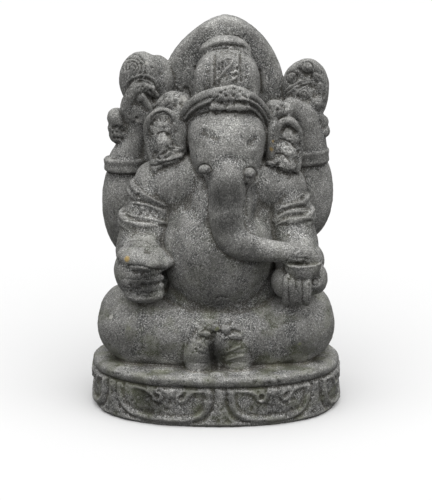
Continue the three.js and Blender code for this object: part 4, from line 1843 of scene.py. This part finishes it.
@dataclass(frozen=True)
class LavaStone:
    """The finish: dark grey volcanic stone with light and dark grains, pits, patina and dust, with painted
    shade in its recesses and grooves, and painted light and shade in its tones.

    The sizes of its patterns are in millimetres, and the tooling is the turn of its grain. An edge
    is where a pattern starts to tell and where it tells fully. Widths, shares, clouds, specks,
    grain and tones in pairs are a factor and what is added to it.
    """

    pit: Colour = (0.028, 0.028, 0.026, 1)
    shade: Colour = (0.085, 0.085, 0.082, 1)
    ground: Colour = (0.150, 0.151, 0.147, 1)
    grain: Colour = (0.58, 0.575, 0.56, 1)
    dust: Colour = (0.30, 0.296, 0.28, 1)
    patina: Colour = (0.104, 0.112, 0.066, 1)
    # The dark colour of dirt, also laid as painted shade in sheltered places and grooves.
    soil_and_shade: Colour = (0.060, 0.053, 0.040, 1)
    ochre: Colour = (0.42, 0.30, 0.12, 1)
    moss: Colour = (0.28, 0.30, 0.14, 1)
    chalk: Colour = (0.50, 0.49, 0.46, 1)
    tooling: Triple = (0.0, 38.0, 0.0)
    tooling_stretch: Triple = (1.0, 1.0, 0.75)
    grain_size: float = 1.9
    speck_size: float = 1.3
    crumb_size: float = 2.0
    pit_spacing: float = 3.1
    cloud_size: float = 20.0
    patch_size: float = 30.0
    pit_widths: Pair = (0.34, 0.02)
    pit_edge: Pair = (0.0, 0.5)
    pit_share: float = 0.75
    fleck_edge: Pair = (0.50, 0.66)
    crumb_edge: Pair = (0.1, 0.9)
    speck_edge: Pair = (0.56, 0.70)
    speck_share: float = 0.9
    pore_edge: Pair = (0.33, 0.45)
    pore_share: float = 0.7
    mottle_edge: Pair = (0.34, 0.50)
    patina_heights: Pair = (0.04, 0.32)
    patina_shares: Pair = (0.6, 0.08)
    patch_edge: Pair = (0.44, 0.64)
    # Edges, clouds and limit of the dirt and painted shade in sheltered places, and the edge of the dirt and
    # painted shade in grooves.
    dirt_and_shade_edge: Pair = (0.36, 0.95)
    dirt_and_shade_clouds: Pair = (0.7, 0.1)
    dirt_and_shade_limit: float = 0.72
    groove_dirt_and_shade_edge: Pair = (0.08, 0.6)
    worn_edge: Pair = (0.06, 0.5)
    line_share: float = 0.5
    worn_specks: Pair = (1.2, 0.2)
    stain_grain: Pair = (1.6, 0.1)
    stain_edge: Pair = (0.2, 0.85)
    moss_share: float = 0.8
    chalk_share: float = 0.8
    cloud_ends: Pair = (0.3, 0.7)
    cloud_tones: Pair = (0.74, 1.26)
    # Painted light on upward faces and painted shade on downward ones: the edge and the tones.
    painted_top_light: Pair = (-0.2, 1.0)
    painted_top_light_tones: Pair = (0.45, 0.9)
    # How far the patches of painted light lighten and those of painted shade darken.
    washed_and_painted_light_gain: float = 0.9
    damp_and_painted_shade_loss: float = 0.8
    grain_height: float = 0.9
    crumb_height: float = 0.3
    speck_height: float = 0.35
    pit_depth: float = 1.2
    pit_floor: float = 0.8
    relief: float = 1.3
    shine: float = 0.3
    roughness: float = 0.92

    def patterns(self, bench: Bench) -> Patterns:
        """Adds the patterns, whose pits are wider in some cells than in others.

        Args:
            bench: the material's node bench.

        Returns:
            The patterns.
        """
        place = bench.node("TexCoord", {}).outputs["Object"]
        mapping = {"Vector": place, "Rotation": in_radians(self.tooling), "Scale": self.tooling_stretch}
        tooled = bench.node("Mapping", mapping).outputs[0]
        _, crumb = bench.cells(tooled, self.crumb_size, 0)
        away, chance = bench.cells(place, self.pit_spacing, 1)
        pit = bench.rest(bench.math("DIVIDE", away, bench.scaled(chance, *self.pit_widths)))
        return Patterns(
            place=place,
            cloud=bench.noise(place, self.cloud_size, 4),
            grain=bench.noise(tooled, self.grain_size, 2, 0.7),
            speck=bench.noise(place, self.speck_size, 1, 0.5),
            crumb=crumb,
            pit=bench.math("MAXIMUM", pit, 0.0),
        )

    def bare(self, bench: Bench, patterns: Patterns) -> Socket:
        """The fresh stone's colour: a mottled ground with light flecks, dark pores and pits.

        Args:
            bench: the material's node bench.
            patterns: the stone's patterns.

        Returns:
            The fresh stone's colour.
        """
        crumbs = bench.span(patterns.crumb, *self.crumb_edge)
        flecks = bench.product(bench.span(patterns.grain, *self.fleck_edge), crumbs)
        specks = bench.product(bench.span(patterns.speck, *self.speck_edge), self.speck_share)
        pores = bench.rest(bench.span(patterns.speck, *self.pore_edge))
        pits = bench.product(bench.span(patterns.pit, *self.pit_edge), self.pit_share)
        mottle = bench.span(patterns.grain, *self.mottle_edge)
        colour = bench.mix(mottle, self.shade, self.ground)
        colour = bench.mix(bench.math("MAXIMUM", flecks, specks), colour, self.grain)
        colour = bench.mix(bench.product(pores, self.pore_share), colour, self.pit)
        return bench.mix(pits, colour, self.pit)

    def aged_and_shaded(self, bench: Bench, patterns: Patterns, colour: Socket) -> Socket:
        """Lays patina, dirt and painted shade in sheltered places and grooves, dust and stains over the
        fresh stone's colour.

        Args:
            bench: the material's node bench.
            patterns: the stone's patterns.
            colour: the fresh stone's colour.

        Returns:
            The aged colour, with its painted shade.
        """
        hollow = bench.kept("hollow")
        low = bench.rest(bench.span(bench.height(patterns.place), *self.patina_heights))
        patches = bench.span(bench.noise(patterns.place, self.patch_size, 4), *self.patch_edge)
        patina = bench.product(bench.scaled(low, *self.patina_shares), patches)
        colour = bench.mix(patina, colour, self.patina)
        # Dirt and painted shade in sheltered places, where little open air reaches.
        dirt_and_shade = bench.span(bench.kept("shelter"), *self.dirt_and_shade_edge)
        dirt_and_shade = bench.product(dirt_and_shade, bench.scaled(patterns.cloud, *self.dirt_and_shade_clouds))
        colour = bench.mix(bench.math("MINIMUM", dirt_and_shade, self.dirt_and_shade_limit), colour, self.soil_and_shade)
        # Dirt and painted shade in grooves and hollows, darker the deeper a point lies below its
        # surroundings.
        cut = bench.product(bench.span(hollow, *self.groove_dirt_and_shade_edge), self.line_share)
        colour = bench.mix(cut, colour, self.soil_and_shade)
        worn = bench.span(bench.product(hollow, -1.0), *self.worn_edge)
        worn = bench.product(worn, self.line_share)
        worn = bench.product(worn, bench.scaled(patterns.speck, *self.worn_specks))
        colour = bench.mix(worn, colour, self.dust)
        stains = (
            ("ochre", self.ochre, 1.0), ("moss", self.moss, self.moss_share),
            ("pale", self.chalk, self.chalk_share),
        )
        for name, finish, strength in stains:
            stain = bench.scaled(patterns.grain, *self.stain_grain)
            stain = bench.span(bench.product(bench.kept(name), stain), *self.stain_edge)
            colour = bench.mix(bench.product(stain, strength), colour, finish)
        return colour

    def toned(self, bench: Bench, patterns: Patterns, colour: Socket) -> Socket:
        """Varies the stone's tone: random clouds, painted light on upper faces and painted shade on lower
        ones, and patches of painted light and painted shade that also stand for rain-washed and damp stone.

        Args:
            bench: the material's node bench.
            patterns: the stone's patterns.
            colour: the aged colour, with its painted shade.

        Returns:
            The varied colour.
        """
        up = bench.height(bench.node("NewGeometry", {}).outputs["Normal"])
        tone = bench.ramp(patterns.cloud, self.cloud_ends, self.cloud_tones)
        # Painted light on upward faces and painted shade on downward ones.
        painted_top_light = bench.scaled(bench.span(up, *self.painted_top_light), *self.painted_top_light_tones)
        # Patches of painted light.
        washed_and_painted_light = bench.scaled(bench.kept("washed_and_painted_light"), self.washed_and_painted_light_gain, 1.0)
        # Patches of painted shade.
        damp_and_painted_shade = bench.scaled(bench.kept("damp_and_painted_shade"), -self.damp_and_painted_shade_loss, 1.0)
        for factor in (painted_top_light, washed_and_painted_light, damp_and_painted_shade):
            tone = bench.product(tone, factor)
        grey = bench.node("CombineColor", {0: tone, 1: tone, 2: tone}).outputs[0]
        return bench.mix(1.0, colour, grey, "MULTIPLY")

    def bumps(self, bench: Bench, patterns: Patterns) -> Socket:
        """The fine relief of grains and pits, as the surface's direction.

        Args:
            bench: the material's node bench.
            patterns: the stone's patterns.

        Returns:
            The surface's direction.
        """
        crumbs = bench.product(patterns.crumb, self.crumb_height)
        height = bench.scaled(patterns.grain, self.grain_height, crumbs)
        height = bench.scaled(patterns.speck, self.speck_height, height)
        sunk = bench.product(bench.math("MINIMUM", patterns.pit, self.pit_floor), self.pit_depth)
        height = bench.math("SUBTRACT", height, sunk)
        inputs = {"Height": height, "Strength": 1.0, "Distance": self.relief * MM}
        return bench.node("Bump", inputs).outputs[0]

    def make(self) -> bpy.types.Material:
        """Makes the material.

        Returns:
            The material.
        """
        material = bpy.data.materials.new("pitted_lava_stone")
        material.use_nodes = True
        bench = Bench(material.node_tree)
        patterns = self.patterns(bench)
        colour = self.aged_and_shaded(bench, patterns, self.bare(bench, patterns))
        inputs = {
            "Base Color": self.toned(bench, patterns, colour),
            "Normal": self.bumps(bench, patterns),
            "Roughness": self.roughness,
            "Specular IOR Level": self.shine,
        }
        shader = bench.node("BsdfPrincipled", inputs)
        bench.node("OutputMaterial", {"Surface": shader.outputs[0]})
        return material


@dataclass(frozen=True)
class Sculpture:
    """The whole carved block. Of each pair, the one on the figure's right comes first."""

    camera: PhotoCamera
    front_arms: tuple[FrontArm, FrontArm] = (
        FrontArm(
            shoulder=(-77, -10, 292),
            elbow=(-96, -32, 208),
            wrist=(-92, -66, 206),
            armlets=(Armlet((-84, -18, 279), 31.5, (12, 24, 0)), Armlet((-92, -26, 248), 34, (12, 5, 0))),
        ),
        FrontArm(
            shoulder=(84, -10, 286),
            elbow=(99, -30, 214),
            wrist=(104, -68, 196),
            armlets=(Armlet((90, -18, 269), 31.5, (12, -6, 0)), Armlet((95, -24, 252), 33.5, (12, -6, 0))),
            elbow_radius=33.0,
        ),
    )
    rear_arms: tuple[RearArm, RearArm] = (
        RearArm(
            upper=Ball((-116, 34, 256), (34, 32, 70)),
            forearm=Limb(((-116, 26, 316), (-104, 22, 350), (-102, 20, 378)), (23, 14.5, 13)),
            ring=(-118, 26, 309),
        ),
        RearArm(
            upper=Ball((118, 34, 270), (36, 32, 64)),
            forearm=Limb(((122, 26, 325), (120, 24, 350), (116, 22, 376)), (23, 21, 19)),
            ring=(119.5, 26, 319),
            tilt=-5.0,
        ),
    )
    ears: tuple[Ear, Ear] = (
        Ear(
            rim=(
                (-77, -32, 312), (-80, -28, 324), (-84, -26, 339), (-87.5, -27, 356),
                (-86.5, -31, 371), (-81, -35, 381), (-73, -38, 387), (-63, -39, 389),
                (-56.5, -39, 385), (-53.5, -37, 378), (-52.5, -34, 369), (-53, -28, 355),
            ),
            leaf=Ball((-68, -19, 345), (21, 17, 46), (0, -6, 0)),
            folds=(
                Ball((-68, -32, 366), (13, 5, 11)),
                Ball((-65, -32, 345), (12.5, 9, 15), (0, -8, 0)),
                Ball((-59, -33, 329), (17, 10, 10), (0, -18, 0)),
                Ball((-72, -29, 320), (12, 8, 9)),
                Ball((-49, -33, 331), (9, 8, 5), (0, -12, 0)),
            ),
            root=Ball((-46, -20, 358), (14, 17, 40)),
        ),
        Ear(
            rim=(
                (75, -31, 346), (76.5, -34, 362), (81, -37, 373.5), (89, -38, 376.5),
                (97, -35, 372), (103, -31, 363), (106, -28, 348), (105.5, -26, 330),
                (103, -27, 311),
            ),
            leaf=Ball((90, -19, 338), (19, 17, 42), (0, 4, 0)),
            folds=(
                Ball((93, -31, 354), (14, 8, 8.5), (0, 26, 0)),
                Ball((88, -32, 338), (14.5, 9, 9), (0, 28, 0)),
                Ball((87, -33, 321), (15, 9, 9.5), (0, 26, 0)),
                Ball((70, -36, 321), (7, 6, 3.4), (0, 6, 0)),
            ),
            root=Ball((70, -22, 350), (11, 16, 38)),
        ),
    )
    carvings: tuple[Carving, ...] = (
        FaceCarving(), HairCarving(), EarCarving(), HandCarving(), BodyCarving(),
    )
    underside: float = 1.2
    skin: float = 0.1

    def forms(self) -> list[Piece]:
        """Builds every form of the sculpture, each one fused by itself.

        Returns:
            The forms, still apart.
        """
        bowl_hand = BowlHand()
        head = Head()
        diadem = Diadem()
        crown = Crown()
        made = {
            "base": [LotusBase().build()],
            "legs": [Legs().build(), Feet().build()],
            "body": [Torso().build(), BackMass().build(), BackPlate().build()],
            "hands": [TuskHand().build(), bowl_hand.build(), bowl_hand.bowl()],
            "head": [head.build(), head.tusks.build(), *(ear.build() for ear in self.ears)],
            "hair": [diadem.build(), diadem.curls.build(), crown.build(), crown.hood()],
            "held": [Tuft().build(), Hook().build()],
            "front arms": [piece for arm in self.front_arms for piece in (arm.build(), *arm.bands())],
            "rear arms": [piece for arm in self.rear_arms for piece in (arm.build(), arm.bracelet())],
        }
        for name, pieces in made.items():
            log.info("%s: %d forms", name, len(pieces))
        return [piece for pieces in made.values() for piece in pieces]

    def settle(self, stone: Piece) -> None:
        """Flattens the underside and keeps the stone a little inside the solid's box.

        Args:
            stone: the stone.
        """
        points = read_points(stone.data)
        points[points[:, 2] < self.underside * MM, 2] = 0
        skin = self.skin * MM
        low = np.array(CAD_LOW) + (skin, skin, 0)
        high = np.array(CAD_HIGH) - skin
        write_points(stone.data, np.clip(points, low, high))

    def carve(self, stone: Piece) -> None:
        """Cuts all of the fine carving into the stone.

        Args:
            stone: the stone.
        """
        chisel = Chisel(stone, self.camera)
        for carving in self.carvings:
            carving.carve(chisel)
        chisel.strike()

    def build(self) -> Piece:
        """Fuses all of the forms, and carves and weathers the stone.

        Returns:
            The finished stone.
        """
        stone = fuse(self.forms(), 2, STONE_VOXEL)
        stone.name = "carved_stone_figure"
        stone.data.name = stone.name
        self.carve(stone)
        Weather().wear(stone, self.camera)
        self.settle(stone)
        faces = sum(len(polygon.vertices) - 2 for polygon in stone.data.polygons)
        change(stone, "DECIMATE", ratio=min(1.0, TRIANGLE_LIMIT / faces), use_collapse_triangulate=True)
        self.settle(stone)
        log.info("%s: %d faces", stone.name, len(stone.data.polygons))
        return stone

    def dress(self, stone: Piece) -> None:
        """Ages the stone, lays out its painted light and shade, and gives it its material.

        Args:
            stone: the finished stone.
        """
        AgeingAndPaintedLight().apply(stone, self.camera)
        stone.data.materials.clear()
        stone.data.materials.append(LavaStone().make())
        only(stone)
        bpy.ops.object.shade_smooth()


@dataclass(frozen=True)
class Studio:
    """The plain pale floor and the soft light from above and a little in front."""

    floor_size: float = 40.0
    floor_tone: Colour = (0.82, 0.82, 0.82, 1)
    floor_roughness: float = 0.9
    floor_shine: float = 0.1
    sun_strength: float = 3.2
    sun_spread: float = 95.0
    sun_turn: Triple = (27.0, 3.0, 0.0)
    sky: float = 0.46
    sky_heights: Pair = (-0.6, 0.5)
    sky_fade: Pair = (0.12, 1.0)

    def floor(self) -> Piece:
        """Makes the floor.

        Returns:
            The floor.
        """
        bpy.ops.mesh.primitive_plane_add(size=self.floor_size)
        floor = bpy.context.object
        floor.name = "floor"
        material = bpy.data.materials.new("pale_floor")
        material.use_nodes = True
        shader = material.node_tree.nodes["Principled BSDF"]
        shader.inputs["Base Color"].default_value = self.floor_tone
        shader.inputs["Roughness"].default_value = self.floor_roughness
        shader.inputs["Specular IOR Level"].default_value = self.floor_shine
        floor.data.materials.append(material)
        floor.visible_diffuse = False
        return floor

    def sun(self) -> Piece:
        """Makes the wide overhead light.

        Returns:
            The light.
        """
        bpy.ops.object.light_add(type="SUN")
        sun = bpy.context.object
        sun.name = "overhead_light"
        sun.data.energy = self.sun_strength
        sun.data.angle = math.radians(self.sun_spread)
        sun.rotation_euler = in_radians(self.sun_turn)
        return sun

    def air(self) -> None:
        """Makes the even light of the sky, which fades towards the ground."""
        world = bpy.data.worlds.new("studio")
        world.use_nodes = True
        bench = Bench(world.node_tree)
        up = bench.height(bench.node("TexCoord", {}).outputs["Generated"])
        fade = bench.ramp(up, self.sky_heights, self.sky_fade)
        glow = bench.node("Background", {"Strength": bench.product(fade, self.sky)})
        bench.node("OutputWorld", {"Surface": glow.outputs[0]})
        bpy.context.scene.world = world

    def make(self) -> None:
        """Sets the stage."""
        self.floor()
        self.sun()
        self.air()
        bpy.context.scene.view_settings.view_transform = "Standard"


def main() -> None:
    """Builds the camera, the sculpture and the stage."""
    logging.basicConfig(level=logging.INFO, format="%(message)s")
    camera = PhotoCamera()
    camera.make()
    sculpture = Sculpture(camera)
    stone = sculpture.build()
    sculpture.dress(stone)
    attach(stone, "root")
    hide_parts(NODE)
    Studio().make()


if __name__ == "__main__":
    main()
